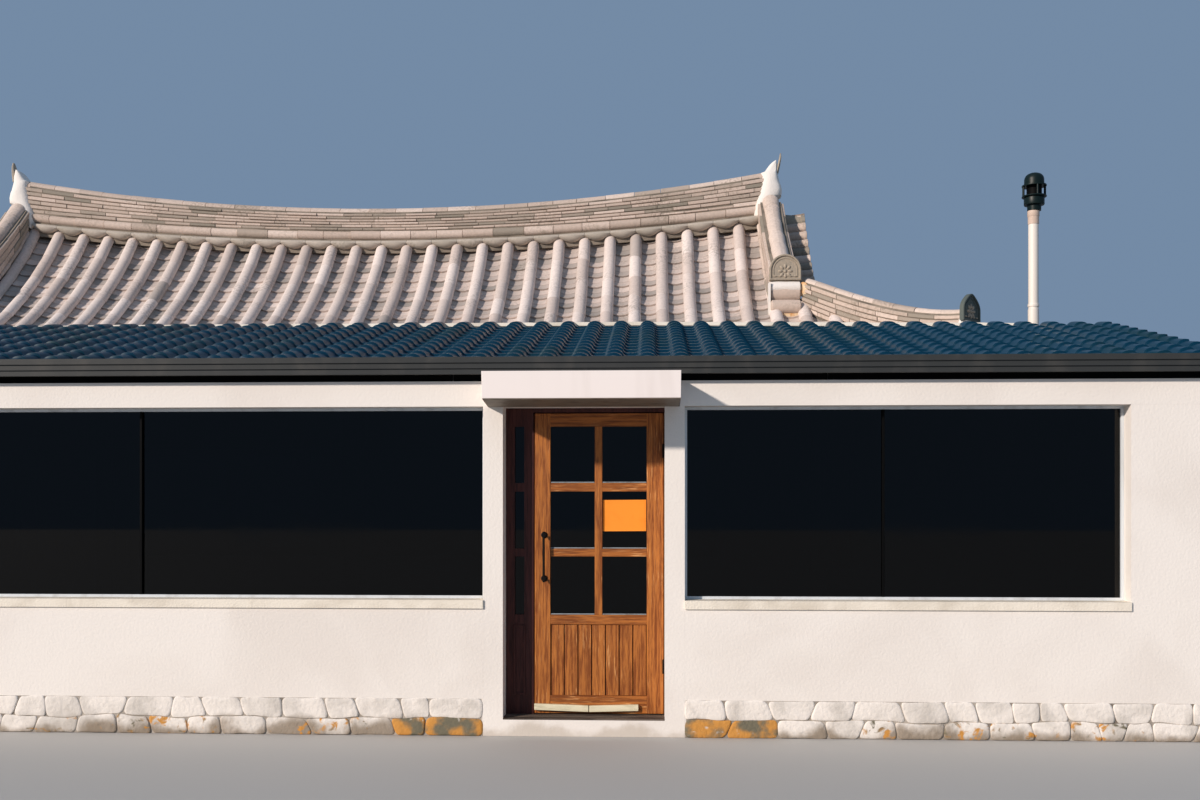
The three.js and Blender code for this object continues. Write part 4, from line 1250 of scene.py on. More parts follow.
    def _ridge_end(self, draft: Draft, side: int) -> None:
        """Ragged plaster that closes a ridge end, with the thin horn tile over it."""
        rings = []
        for level, (height, inner, outer) in enumerate(self.plaster_levels):
            ring = []
            thick = 0.165 * (1 - 0.6 * (level / (len(self.plaster_levels) - 1)) ** 3)
            for a in full_turn(24):
                push = 1 + 0.10 * noise.noise(Vector((math.cos(a) * 2 + side, math.sin(a) * 2, height * 9)))
                across, deep = [math.copysign(abs(v) ** 0.7, v) for v in (math.cos(a), math.sin(a))]
                x = (inner + outer) / 2 + (outer - inner) / 2 * across
                ring.append(Vector((side * x, self.form.ridge + thick * deep * push, height)))
            rings.append(ring)
        draft.loft(rings, 0.5, 2)
        flat = ((0, -1), (0.5, -0.8), (0.5, 0.8), (0, 1), (-0.5, 0.9), (-0.5, -0.9))
        draft.loft([[Vector((side * (x + a * depth), self.form.ridge + b * half, z)) for a, b in flat]
                    for x, z, half, depth in self.horn_levels], 0.6, 3)

    def _descending(self, word: str, side: int, facing: int) -> None:
        """A ridge that runs down a main slope beside its gable."""
        form = self.form

        def spot(share: float) -> tuple[Vector, float, float, Vector]:
            inward = blend_between(*self.side_inward, share)
            x = side * blend_between(*self.side_outward, share)
            y = form.ridge + facing * (form.depth - inward)
            ground = form.main(x, y)
            rise = blend_between(*self.side_rise, share)
            return Vector((x, y, 0)), ground - 0.03, ground + rise, Vector((1, 0, 0))

        rng = random.Random(f"descending {word}")
        draft = Draft()
        self._courses(draft, RidgePath(spot, 1.5), self.side_work, rng)
        foot, ground, _, _ = spot(1.0)
        self._foot_rolls(draft, foot + Vector((side * 0.022, 0, 0)), ground + 0.03, side, facing)
        stand = Vector((foot.x + side * 0.020, foot.y + facing * 0.002, ground + 0.262))
        EndTile(0.340, 0.280, 0.04).build(draft, stand, Vector((0, facing, 0)), Vector((1, 0, 0)))
        self._piece(draft, f"descending_courses_{word}", f"descending_ridge_{word}")

    def _foot_rolls(self, draft: Draft, foot: Vector, ground: float, side: int, facing: int) -> None:
        """Under the end tile: a plastered roll, a lower roll and stained mortar over the pans."""
        for height, ahead, deep, tall, half, slot in self.foot_rolls:
            rings = []
            for shift in (-1.0, -0.97, -0.9, -0.45, 0.0, 0.45, 0.9, 0.97, 1.0):
                size = math.sqrt(1 - max(0.0, (abs(shift) - 0.85) / 0.15) ** 2 * 0.7)
                ring = []
                for a in full_turn(16):
                    ragged = 1 + (0.10 * noise.noise(Vector((shift * 3, a, foot.x))) if slot == 2 else 0.0)
                    forward = ahead + size * deep * math.cos(a) * ragged - deep * 0.5
                    ring.append(Vector((foot.x + shift * half, foot.y + facing * forward,
                                        ground + height + size * tall * math.sin(a) * ragged)))
                rings.append(ring)
            draft.loft(rings, 0.6, slot)
        edge = foot.x - side * 0.172
        draft.loft([[Vector((edge + a, foot.y + facing * (b + 0.002 * k), ground + z)) for a, b in
                     ((-0.010, -0.03), (0.010, -0.03), (0.010, 0.075), (-0.010, 0.075))]
                    for k, z in enumerate((-0.20, -0.10, 0.0, 0.10, 0.20))], 0.5, 2)

    def _hip(self, word: str, side: int, facing: int) -> None:
        """A ridge along a hip, down to the corner."""
        form = self.form
        across = Vector((-facing, side, 0)).normalized()

        def spot(share: float) -> tuple[Vector, float, float, Vector]:
            inward = blend_between(*self.hip_inward, share)
            x, y = side * (form.half - inward), form.ridge + facing * (form.depth - inward)
            ground = form.hip(x, y)
            rise = blend_between(*self.hip_rise, share) + 0.04 * math.sin(math.pi * share ** 0.75)
            return Vector((x, y, 0)), ground - 0.15, ground + rise, across

        rng = random.Random(f"hip {word}")
        draft = Draft()
        self._courses(draft, RidgePath(spot, 1.95), self.hip_work, rng)
        foot, ground, _, _ = spot(1.0)
        outward = Vector((side, facing, 0)).normalized()
        head, above, _, _ = spot(0.0)
        for where, level, reach, slot in ((foot, ground + 0.15, 0.05, 2), (head, above + 0.22, 0.07, 5)):
            draft.loft([[where + outward * (reach * math.cos(a)) * size + across * shift
                         + Vector((0, 0, level + 0.08 * size * math.sin(a))) for a in full_turn(12)]
                        for shift, size in ((-0.13, 0.5), (-0.11, 1.0), (0.11, 1.0), (0.13, 0.5))], 0.5, slot)
        # A tone of 0 gives the tile the end-tile finish's dark cool colour in full: painted shade on its
        # face, which is turned away from the light.
        arch = EndTile(0.312, 0.266, 0.045, pointed=0.030, tone=0.0)
        arch.build(draft, foot + outward * 0.002 + Vector((0, 0, ground + 0.190)), outward, across)
        self._piece(draft, f"hip_courses_{word}", f"hip_ridge_{word}")


@dataclass(frozen=True)
class EndTile:
    """A round-topped tile that stands across the end of a ridge, with a raised rim and a flower."""

    width: float
    height: float
    thickness: float
    pointed: float = 0.0
    petals: int = 8
    tone: float = 0.5
    recess: float = 0.014
    petal_ring: float = 0.155
    petal: Span = (0.026, 0.016)
    heart: Span = (0.020, 0.020)
    foot_bead: Span = (0.022, 0.009)
    foot_beads: tuple[float, ...] = (-0.32, -0.16, 0.0, 0.16, 0.32)

    def build(self, draft: Draft, foot: Vector, forward: Vector, across: Vector) -> None:
        """Adds the tile.

        Args:
            draft: the mesh to add to.
            foot: middle of the tile's lower edge, at its back face.
            forward: unit vector out of its face.
            across: unit vector along its width.
        """
        sunk = self.thickness - self.recess
        steps = ((0.0, 0.0), (0.0, self.thickness - 0.006), (0.006, self.thickness), (0.018, self.thickness),
                 (0.024, sunk), (0.036, sunk), (0.040, sunk + 0.006), (0.048, sunk + 0.006), (0.052, sunk))
        draft.loft([self._outline(foot, forward, across, *step) for step in steps], self.tone, 3)
        middle = foot + Vector((0, 0, self.height - self.width / 2 - 0.012)) + forward * sunk
        for angle in full_turn(self.petals):
            way = across * math.cos(angle) + Vector((0, 0, 1)) * math.sin(angle)
            self._bead(draft, middle + way * self.width * self.petal_ring, forward, way, self.petal)
        self._bead(draft, middle, forward, across, self.heart)
        for shift in self.foot_beads:
            spot = foot + across * self.width * shift + Vector((0, 0, 0.042)) + forward * sunk
            self._bead(draft, spot, forward, across, self.foot_bead)

    def _outline(self, foot: Vector, forward: Vector, across: Vector, inset: float,
                 ahead: float) -> list[Vector]:
        """The arched outline, drawn in by an inset and moved ahead."""
        half = self.width / 2 - inset
        spring = self.height - self.width / 2
        flat = [(-half, inset), (half, inset)]
        flat += [(half * math.cos(a), spring + (half - self.pointed) * math.sin(a)
                  + self.pointed * math.sin(a) ** 9) for a in half_turn(18)]
        return [foot + across * a + Vector((0, 0, b)) + forward * ahead for a, b in flat]

    def _bead(self, draft: Draft, at: Vector, forward: Vector, way: Vector, size: Span) -> None:
        """A low oval boss on the face."""
        side = forward.cross(way)
        draft.loft([[at + forward * ahead + way * size[0] * share * math.cos(a)
                     + side * size[1] * share * math.sin(a) for a in full_turn(10)]
                    for share, ahead in ((1.0, 0.0), (0.85, 0.006), (0.45, 0.010), (0.05, 0.011))], 0.6, 3)


@dataclass
class Gables:
    """Tiled edges of the roof over the gables, with their boards."""

    finishes: Finishes
    form: RoofForm = field(default_factory=RoofForm)
    inner: float = 4.58
    edge: float = 4.905
    foot: float = 1.88
    tiles: int = 9
    rise: float = 0.062

    def build(self) -> None:
        """Builds both gables' edges."""
        for word, side in (("left", -1), ("right", 1)):
            rng = random.Random(f"verge {word}")
            draft = Draft()
            for facing in (Side.FRONT, Side.BACK):
                self._edge_tiles(draft, side, Slope(self.form, facing), rng)
            self._peak(draft, side)
            self._board(draft, side)
            made = self.finishes.several(Finishes.RIDGE_TILE, Finishes.TIMBER, Finishes.END_TILE)
            place(draft.build(f"verge_tiles_{word}", made), Body.HOUSE, "roof_tile", f"verge_{word}")

    def _edge_tiles(self, draft: Draft, side: int, slope: Slope, rng: random.Random) -> None:
        """Half-round tiles that lie across the edge, each lapping over the one below it."""
        pitch = (self.form.depth - self.foot) / self.tiles
        edge = self.edge
        for k in range(self.tiles):
            middle = self.foot + pitch * (k + 0.5)
            rings = []
            for x, size in ((self.inner, 1.0), (edge - 0.035, 1.0), (edge - 0.03, 1.06), (edge - 0.004, 1.06),
                            (edge, 0.98)):
                _, up, out = slope.axes(side * x, min(middle, self.form.depth - 0.05))
                base = slope.point(side * x, middle) - out * self.rise
                ring = [base + up * (pitch * 0.66 * size * math.cos(a) - 0.012)
                        + out * self.rise * size * math.sin(a) * (1.0 if math.cos(a) < 0 else 0.86)
                        for a in half_turn(10)]
                ring += [base + up * (pitch * 0.66 * size * c) - out * 0.018 for c in (-1, 1)]
                rings.append(ring)
            draft.loft(rings, drawn_tone(rng, 0.45, 0.2))

    def _peak(self, draft: Draft, side: int) -> None:
        """The large half-round tile over the peak."""
        edge, ridge = self.edge, self.form.ridge
        top = self.form.main(edge, ridge)
        rings = []
        for x, size, fall in ((self.inner, 1.0, 0.050), (edge - 0.05, 1.0, 0.080),
                              (edge - 0.045, 1.12, 0.072), (edge - 0.004, 1.12, 0.078), (edge, 1.06, 0.086)):
            ring = [Vector((side * x, ridge + 0.105 * size * math.cos(a),
                            top - fall - 0.10 + 0.10 * size * math.sin(a))) for a in half_turn(12)]
            rings.append(ring + [Vector((side * x, ridge + b, top - fall - 0.150)) for b in (-0.11, 0.11)])
        draft.loft(rings, 0.4, 2)

    def _board(self, draft: Draft, side: int) -> None:
        """The board under the edge tiles."""
        steps = 24
        reach = self.form.depth - self.foot
        rings = []
        for k in range(steps + 1):
            y = self.form.ridge + reach * (2 * k / steps - 1)
            x = side * (self.edge - 0.03)
            top = self.form.main(x, y) - 0.085
            rings.append([Vector((x, y, top)), Vector((x - side * 0.035, y, top)),
                          Vector((x - side * 0.035, y, top - 0.17)), Vector((x, y, top - 0.17))])
        draft.loft(rings, 0.5, 1)


# Lean-to


@dataclass
class MetalRoof:
    """The ribbed sheet of the lean-to, the mortar behind it and the gutter in front."""

    finishes: Finishes
    left: float = -6.416
    right: float = 7.190
    front: float = -0.057
    back: float = 2.55
    eave: float = 2.644
    slope: float = 0.2541
    pitch: float = 0.2403
    phase: float = 3.070
    rib_half: float = 0.068
    rib: float = 0.052
    steps: int = 14
    step: float = 0.016
    deck: float = 0.110
    wall_top: float = 2.6245
    wall_slope: float = 0.2256
    eaves_under: float = 3.05
    sag: float = 0.0034
    sag_from: float = 3.0
    eave_line: float = -0.125
    rib_feet: tuple[Span, ...] = ((0.092, 0.0), (0.077, 0.004))
    mortar: Span = (-6.196, 6.4)
    mortar_rows: tuple[Span, ...] = ((2.530, -0.064), (2.545, -0.038), (2.556, -0.028), (2.575, -0.026),
                                     (2.75, -0.03), (2.895, -0.07))

    def build(self, nodes: dict[str, bpy.types.Object]) -> None:
        """Builds the sheet and the mortar, and dresses the gutter.

        Args:
            nodes: the CAD nodes.
        """
        self._sheet()
        self._mortar()
        dress(nodes["eave_fascia"], self.finishes.of(Finishes.CHARCOAL), 0.003)

    def _top(self, x: float, y: float) -> float:
        """Height of the ribs' crowns, which sag a little towards the right end."""
        return self.eave + (self.slope - self.sag * max(0.0, x - self.sag_from)) * (y - self.eave_line)

    def _section(self) -> list[Span]:
        """Places across the ribs and the flat valleys between them, each with its depth under the crowns."""
        found = []
        first = math.floor((self.left - self.phase) / self.pitch)
        last = math.ceil((self.right - self.phase) / self.pitch)
        for k in range(first, last + 1):
            crown = self.phase + k * self.pitch
            found += [(crown - out, self.rib - up) for out, up in self.rib_feet]
            for j in range(9):
                a = math.pi * (0.93 - 0.86 * j / 8)
                found.append((crown + self.rib_half * math.cos(a), self.rib * (1 - math.sin(a))))
            found += [(crown + out, self.rib - up) for out, up in reversed(self.rib_feet)]
        inside = [place_on for place_on in found if self.left < place_on[0] < self.right]
        return [(self.left, self.rib)] + inside + [(self.right, self.rib)]

    def _sheet(self) -> None:
        """The thin sheet, pressed in low steps like rows of tiles, on its boards."""
        section = self._section()
        length = (self.back - self.front) / self.steps
        top = []
        for k in range(self.steps):
            for share in (0.0, 0.97):
                y = self.front + (k + share) * length
                fall = self.step * share
                walls = self.wall_top + self.wall_slope * y
                top.append([Vector((x, y, max(walls, self._top(x, y) - deep - fall))) for x, deep in section])
        y = self.back
        top.append([Vector((x, y, self._top(x, y) - deep - self.step)) for x, deep in section])
        bottom = [[Vector((p.x, p.y, p.z - 0.004)) for p in row] for row in top]
        draft = Draft()
        draft.sheet(top, bottom, 0.5)
        edges = (self.left + 0.01, self.sag_from, self.right - 0.01)
        for slot, start, clear, drops in ((1, -0.055, 0.005, (0.080, self.deck)),
                                          (2, -0.02, 0.003, (self.rib + 0.022, 0.079))):
            draft.sheet(*[[[Vector((x, y, self._top(x, y) - drop)) for x in edges]
                           for y in (start, self.back - clear)] for drop in drops], 0.5, slot)
        made = self.finishes.several(Finishes.TEAL, Finishes.TIMBER, Finishes.BLACK_SEAL_AND_SHADE)
        place(draft.build("ribbed_sheet", made, sharp=50.0), Body.HOUSE, "teal_metal", "leanto_roof")

    def _mortar(self) -> None:
        """Mortar between the sheet and the tiled eave, pressed into the valleys."""
        draft = Draft()
        count = 420
        places = [blend_between(*self.mortar, k / count) for k in range(count + 1)]
        top, bottom = [], []
        for y, drop in self.mortar_rows:
            top.append([Vector((x, y, self._top(x, self.back) + drop
                                + 0.004 * noise.noise(Vector((x * 11, y * 9, 0.5))))) for x in places])
            bottom.append([Vector((x, y, self.eaves_under if y > self.back else self._top(x, y) - 0.060))
                           for x in places])
        draft.sheet(top, bottom)
        made = self.finishes.several(Finishes.MORTAR)
        place(draft.build("valley_mortar", made), Body.HOUSE, "cream_mortar", "valley_flashing")


# Shop front


@dataclass
class ShopFront:
    """Walls, rubble base, glazing and sign box."""

    finishes: Finishes
    base_left: Span = (-6.196, 1.916)
    base_right: Span = (3.333, 6.970)
    base_top: float = 0.260
    stone_length: Span = (0.17, 0.34)
    stone_tones: tuple[float, ...] = (0.1, 0.25, 0.4, 0.5)
    bare_reach: float = 0.5
    joint: float = 0.0014
    sign_front: tuple[Span, ...] = ((1.981, 2.325), (3.293, 2.325), (3.295, 2.512), (1.976, 2.512))
    sign_back: tuple[Span, ...] = ((1.949, 2.313), (3.299, 2.313), (3.299, 2.512), (1.949, 2.512))
    glazed: Span = (0.9573, 2.3177)
    glass_left: Span = (-5.6197, 1.9157)
    glass_right: Span = (3.3333, 6.3937)
    seals_left: tuple[float, ...] = (-3.092, -0.588)
    seals_right: tuple[float, ...] = (4.732,)
    shadow: Span = (-6.19, 6.96)
    dressed: tuple[tuple[str, Finish | GlassFinish, float], ...] = (
        ("sill_wall_left sill_wall_right side_wall_left side_wall_right frieze_beam door_surround "
         "hanok_wall_left hanok_wall_right hanok_wall_back gable_left gable_right", Finishes.PLASTER, 0.008),
        ("window_sill_left window_sill_right", Finishes.MORTAR, 0.010),
        ("leanto_bent hanok_bent", Finishes.TIMBER, 0.012),
        ("window_glass_left window_glass_right glass_left glass_right glass_back door_glass "
         "sidelight_glass", Finishes.GLASS, 0.0),
        ("floor_slab", Finishes.CONCRETE, 0.0))

    def build(self, nodes: dict[str, bpy.types.Object]) -> None:
        """Dresses the walls and builds the stones and the sign box.

        Args:
            nodes: the CAD nodes.
        """
        for names, finish, rounded in self.dressed:
            for name in names.split():
                dress(nodes[name], self.finishes.of(finish), rounded, 3)
        self._frame("left", self.glass_left, self.seals_left)
        self._frame("right", self.glass_right, self.seals_right)
        self._shadow_boards()
        self._stones("base_stones_left", self.base_left, "base_front_left")
        self._stones("base_stones_right", self.base_right, "base_front_right")
        self._sign()

    def _frame(self, word: str, x: Span, mullions: tuple[float, ...]) -> None:
        """Pale frame round the glass, with dark seals where two panes meet."""
        draft = Draft()
        width, y, (low, high) = 0.020, (0.118, 0.142), self.glazed
        draft.surround(x, y, self.glazed, width, back=0.0008)
        for middle in mullions:
            draft.block((middle - 0.008, middle + 0.008), (y[0] + 0.002, y[1] - 0.001),
                        (low + width, high - width), 0.5, 1)
        made = self.finishes.several(Finishes.FRAME, Finishes.BLACK_SEAL_AND_SHADE)
        place(draft.build(f"glazing_frame_{word}", made, bevel=0.0015), Body.HOUSE, "frame_metal",
              f"window_frame_{word}")

    def _shadow_boards(self) -> None:
        """Black boards that close the gap between the frieze and the gutter; their black is painted shade for
        the deep shade of that recess.
        """
        draft = Draft()
        (left, right), count = self.shadow, 5
        length = (right - left) / count
        for k in range(count):
            draft.block((left + k * length, left + (k + 1) * length - 0.003),
                        (0.030 + 0.001 * (k % 2), 0.0395), (2.4955, 2.545))
        # Painted shade: the black finish stands for the shade in the recess.
        made = self.finishes.several(Finishes.BLACK_SEAL_AND_SHADE)
        place(draft.build("shadow_boards", made, bevel=0.0015), Body.HOUSE, "charcoal_metal")

    def _stones(self, name: str, span: Span, node: str) -> None:
        """Two rows of irregular stones with open joints, under worn whitewash."""
        rng = random.Random(name)
        draft = Draft()
        # The backing shows between the stones; its darker finish is partly painted shade in the joints.
        draft.block(span, (0.002, 0.2), (0.0, self.base_top), 0.5, 1)
        for end in ((span[0] - 0.001, span[0] + 0.01), (span[1] - 0.01, span[1] + 0.001)):
            draft.block(end, (0.001, 0.201), (0.0, self.base_top), 0.1, 0)

        def seam(x: float) -> float:
            slow, quick = noise.noise(Vector((x * 2.1, 3.0, 0))), noise.noise(Vector((x * 6.0, 0, 5.0)))
            return 0.122 + 0.030 * slow + 0.014 * quick

        edges = (lambda x: 0.0, seam, lambda x: self.base_top)
        for row in (0, 1):
            joints, x = [(span[0], span[0])], span[0]
            while x < span[1] - 0.42:
                x += rng.uniform(*self.stone_length)
                lean = rng.uniform(-0.028, 0.028)
                joints.append((x - lean, x + lean))
            joints.append((span[1], span[1]))
            for (left, high_left), (right, high_right) in zip(joints, joints[1:]):
                outline = []
                for edge, start, end in ((edges[row], left, right), (edges[row + 1], high_right, high_left)):
                    outline += [(x, edge(x)) for x in (blend_between(start, end, k / 4) for k in range(5))]
                if row:
                    tone = 0.2 * rng.random()
                elif min(abs(left - self.base_right[0]), abs(right - self.base_left[1])) < self.bare_reach:
                    tone = 1.0
                else:
                    tone = rng.choice(self.stone_tones)
                self._stone(draft, outline, tone, rng)
        made = self.finishes.several(Finishes.RUBBLE, Finishes.JOINT_AND_SHADE)
        place(draft.build(name, made, sharp=60.0), Body.HOUSE, "rubble", node)

    def _stone(self, draft: Draft, outline: list[Span], tone: float, rng: random.Random) -> None:
        """One stone inside its outline, with rounded corners and an uneven face."""
        outline = [(a + rng.uniform(-0.004, 0.004), b + rng.uniform(-0.004, 0.004)) for a, b in outline]
        middle = (sum(a for a, _ in outline) / len(outline), sum(b for _, b in outline) / len(outline))
        half = [(max(v) - min(v)) / 2 for v in zip(*outline)]
        flat = [tuple(m + (v - m) * (1 - self.joint / h) for v, m, h in zip(point, middle, half))
                for point in outline]
        for _ in range(2):
            cut = []
            for (a, b), (c, d) in zip(flat, flat[1:] + flat[:1]):
                cut += [(0.8 * a + 0.2 * c, 0.8 * b + 0.2 * d), (0.2 * a + 0.8 * c, 0.2 * b + 0.8 * d)]
            flat = cut
        proud, seed = rng.uniform(0.003, 0.0095), rng.uniform(0, 50)
        rings = []
        for share, ahead in ((1.0, 0.03), (1.0, 0.0), (0.975, -0.7 * proud), (0.90, -proud), (0.55, -proud),
                             (0.2, -proud)):
            ring = []
            for a, b in flat:
                x, z = middle[0] + (a - middle[0]) * share, middle[1] + (b - middle[1]) * share
                bump = 0.0022 * noise.noise(Vector((x * 14 + seed, z * 14, 0.0))) if share < 1 else 0.0
                ring.append(Vector((x, max(-0.0118, ahead + bump), max(0.0, z))))
            rings.append(ring)
        draft.loft(rings, tone)

    def _sign(self) -> None:
        """The bare sign box: a pale face on a darker tray, whose darker colour is partly painted shade of the
        box's underside.
        """
        draft = Draft()
        tray_depth = 0.006
        draft.loft([[Vector((a, y, b + (tray_depth if b < 2.4 else 0.0))) for a, b in corners]
                    for y, corners in ((-0.0005, self.sign_back), (-0.505, self.sign_front))])
        tray = [Vector((a, y, b)) for (a, b), y in (((1.951, 2.313), -0.001), ((3.297, 2.313), -0.001),
                                                    ((3.292, 2.325), -0.503), ((1.982, 2.325), -0.503))]
        draft.loft([tray, [p + Vector((0, 0, 0.0055)) for p in tray]], 0.5, 1)
        made = self.finishes.several(Finishes.SIGN, Finishes.SIGN_TRAY_SHADE)
        place(draft.build("sign_panel", made, bevel=0.002), Body.HOUSE, "sign_panel", "sign_box")


@dataclass
class WallWindows:
    """Wooden sashes in the openings of the house's side and back walls."""

    finishes: Finishes
    bottom: float = 0.957
    top: float = 2.318
    side_wall: float = 5.4
    side_span: Span = (4.3, 6.9)
    back_wall: float = 7.5
    back_spans: tuple[Span, ...] = ((-3.9, -1.3), (1.3, 3.9))
    width: float = 0.06
    lattice: float = 0.009

    def build(self) -> None:
        """Builds the sashes of the four openings."""
        draft = Draft()
        for side in (-1, 1):
            self._sash(draft, self.side_span,
                       lambda a, depth, z, side=side: Vector((side * (self.side_wall - depth), a, z)))
        for span in self.back_spans:
            self._sash(draft, span, lambda a, depth, z: Vector((a, self.back_wall - depth, z)))
        made = self.finishes.several(Finishes.TIMBER)
        place(draft.build("wall_sashes", made, bevel=0.003), Body.HOUSE, "timber")

    def _sash(self, draft: Draft, span: Span, at: Callable[[float, float, float], Vector]) -> None:
        """Two sliding sashes with a lattice, set into one opening."""

        def bar(a: Span, z: Span, depth: Span) -> None:
            ring = [(a[0], z[0]), (a[1], z[0]), (a[1], z[1]), (a[0], z[1])]
            draft.loft([[at(u, d, v) for u, v in ring] for d in depth], 0.4)

        across = (span[0] + self.width, span[1] - self.width)
        upright = (self.bottom + self.width, self.top - self.width)
        deep = (0.05, 0.10)
        for side in ((span[0], across[0]), (across[1], span[1])):
            bar(side, (self.bottom, self.top), deep)
        for level in ((self.bottom, upright[0]), (upright[1], self.top)):
            bar(across, level, deep)
        middle = (span[0] + span[1]) / 2
        bar((middle - self.width / 2, middle + self.width / 2), upright, (0.045, 0.098))
        for k in (1, 2, 3, 4, 6, 7, 8, 9):
            x = blend_between(*across, k / 10)
            bar((x - self.lattice, x + self.lattice), upright, (0.062, 0.086))
        for k in (1, 2, 3):
            z = blend_between(*upright, k / 4)
            bar(across, (z - self.lattice, z + self.lattice), (0.064, 0.088))


# Entrance


@dataclass
class Entrance:
    """The panelled glass door with its frame, sidelight, handle and threshold.

    The handle has its place across, its foot and its top. The note and the sidelight's moulding have their
    spans across and up. A part of the strip has the foot of its left and right end, and its front.
    """

    finishes: Finishes
    left: float = 2.263
    right: float = 3.187
    bottom: float = 0.131
    top: float = 2.281
    face: float = 0.180
    glass: float = 0.200
    back: float = 0.220
    left_stile: float = 0.114
    right_stile: float = 0.121
    muntin: float = 0.055
    panes: tuple[Span, ...] = ((0.837, 1.254), (1.311, 1.720), (1.782, 2.186))
    panel: Span = (0.259, 0.767)
    boards: int = 7
    handle: Point = (2.332, 1.073, 1.434)
    strip: tuple[tuple[Span, Span, float], ...] = (((2.262, 0.157), (2.652, 0.145), 0.150),
                                                   ((2.656, 0.144), (3.008, 0.154), 0.153))
    note: tuple[Span, Span] = ((2.752, 3.062), (1.435, 1.660))
    sidelight: tuple[Span, Span] = ((2.112, 2.196), (0.262, 0.768))

    def build(self, nodes: dict[str, bpy.types.Object]) -> None:
        """Builds the leaf and all that it carries, and dresses the frame.

        Args:
            nodes: the CAD nodes.
        """
        self._leaf()
        self._boards()
        self._handle()
        self._strip()
        self._note()
        self._sidelight_panel()
        # The frame's dark maroon is partly painted shade.
        dress(nodes["door_frame"], self.finishes.of(Finishes.MAROON_AND_SHADED_WOOD), 0.003)
        dress(nodes["threshold"], self.finishes.of(Finishes.GREY_WOOD))
        for name in ("hinge_lower", "hinge_upper"):
            dress(nodes[name], self.finishes.of(Finishes.IRON))

    def _leaf(self) -> None:
        """Stiles, rails and glazing bars, each its own board."""
        draft = Draft()
        inner = (self.left + self.left_stile, self.right - self.right_stile)
        depth = (self.face, self.back)
        draft.block((self.left, inner[0]), depth, (self.bottom, self.top), 0.35)
        draft.block((inner[1], self.right), depth, (self.bottom, self.top), 0.2)
        rails = [(self.bottom, self.panel[0]), (self.panel[1], self.panes[0][0]),
                 (self.panes[2][1], self.top)]
        rails += [(self.panes[0][1], self.panes[1][0]), (self.panes[1][1], self.panes[2][0])]
        for k, (low, high) in enumerate(rails):
            front = self.face + (0.001 if k < 3 else 0.003)
            draft.block((inner[0] - 0.001, inner[1] + 0.001), (front, self.back - 0.001), (low, high),
                        0.15 + 0.17 * k, 1)
        middle = (inner[0] + inner[1]) / 2
        draft.block((middle - self.muntin / 2, middle + self.muntin / 2),
                    (self.face + 0.002, self.back - 0.002),
                    (self.panes[0][0] - 0.001, self.panes[2][1] + 0.001))
        # Putty beads at the foot of each pane, whose bluish grey is a painted sky reflection on the rails'
        # top edges.
        for low, _ in self.panes:
            for left, right in ((inner[0], middle - self.muntin / 2), (middle + self.muntin / 2, inner[1])):
                draft.block((left + 0.0005, right - 0.0005), (self.face + 0.005, self.glass - 0.0015),
                            (low + 0.0003, low + 0.009), 0.5, 2)
        made = self.finishes.several(Finishes.DOOR_WOOD, Finishes.RAIL_WOOD, Finishes.PUTTY_SKY_SHEEN)
        place(draft.build("leaf_boards", made, bevel=0.003), Body.DOOR, "door_wood", "door_leaf")

    def _boards(self) -> None:
        """Tongue-and-groove boards of the lower panel."""
        draft = Draft()
        low, high = self.left + self.left_stile, self.right - self.right_stile
        width = (high - low) / self.boards
        for k in range(self.boards):
            draft.block((low + k * width + 0.0034, low + (k + 1) * width - 0.0034),
                        (self.face + 0.009, self.back - 0.009),
                        (self.panel[0] + 0.0005, self.panel[1] - 0.0005), 0.1 + 0.8 * ((k * 3) % 7) / 7)
        # The dark backing shows in the grooves as painted shade.
        draft.block((low + 0.001, high - 0.001), (self.face + 0.019, self.back - 0.012),
                    (self.panel[0] + 0.001, self.panel[1] - 0.001), 0.9, 1)
        made = self.finishes.several(Finishes.DOOR_WOOD, Finishes.GROOVE_SHADE)
        place(draft.build("panel_boards", made, bevel=0.0022), Body.DOOR, "door_wood", "door_panel")

    def _handle(self) -> None:
        """A pull bar on two feet."""
        draft = Draft()
        x, bottom, top = self.handle
        y = self.face - 0.049
        draft.tube([Vector((x, y, z)) for z in (bottom, bottom + 0.004, top - 0.004, top)], 0.0085, 16)
        for z in (bottom + 0.025, top - 0.025):
            for start, end, radius, sides in ((y, self.face - 0.003, 0.008, 12),
                                              (self.face - 0.006, self.face - 0.0003, 0.023, 20),
                                              (self.face - 0.012, self.face - 0.0003, 0.017, 20),
                                              (y - 0.0085, y + 0.010, 0.016, 20)):
                draft.tube([Vector((x, start, z)), Vector((x, end, z))], radius, sides)
        made = self.finishes.several(Finishes.IRON)
        place(draft.build("pull_bar", made, bevel=0.0015), Body.DOOR, "iron", "door_handle")

    def _strip(self) -> None:
        """The two-part cream strip along the foot of the leaf."""
        draft = Draft()
        back = self.face - 0.0005
        for *ends, front in self.strip:
            draft.loft([[Vector((x, y, z)) for y, z in ((front, low), (back, low), (back, low + 0.046),
                                                        (front + 0.005, low + 0.046), (front, low + 0.036))]
                        for x, low in ends])
        made = self.finishes.several(Finishes.STRIP)
        place(draft.build("foot_strip", made, bevel=0.004), Body.DOOR, "door_wood")

    def _note(self) -> None:
        """The blank orange note on the middle pane at the right."""
        draft = Draft()
        rows, columns = 8, 10

        def corner(r: int, c: int, ahead: float) -> Vector:
            u, v = c / columns, r / rows
            curl = 0.0016 * math.sin(math.pi * u) + 0.0012 * (v - 0.5) ** 2
            return Vector((blend_between(*self.note[0], u), self.glass - 0.0008 - curl - ahead,
                           blend_between(*self.note[1], v) + 0.002 * u))

        draft.sheet(*[[[corner(r, c, ahead) for c in range(columns + 1)] for r in range(rows + 1)]
                      for ahead in (0.0006, 0.0)])
        place(draft.build("blank_note", self.finishes.several(Finishes.PAPER)), Body.DOOR, "sign_panel")

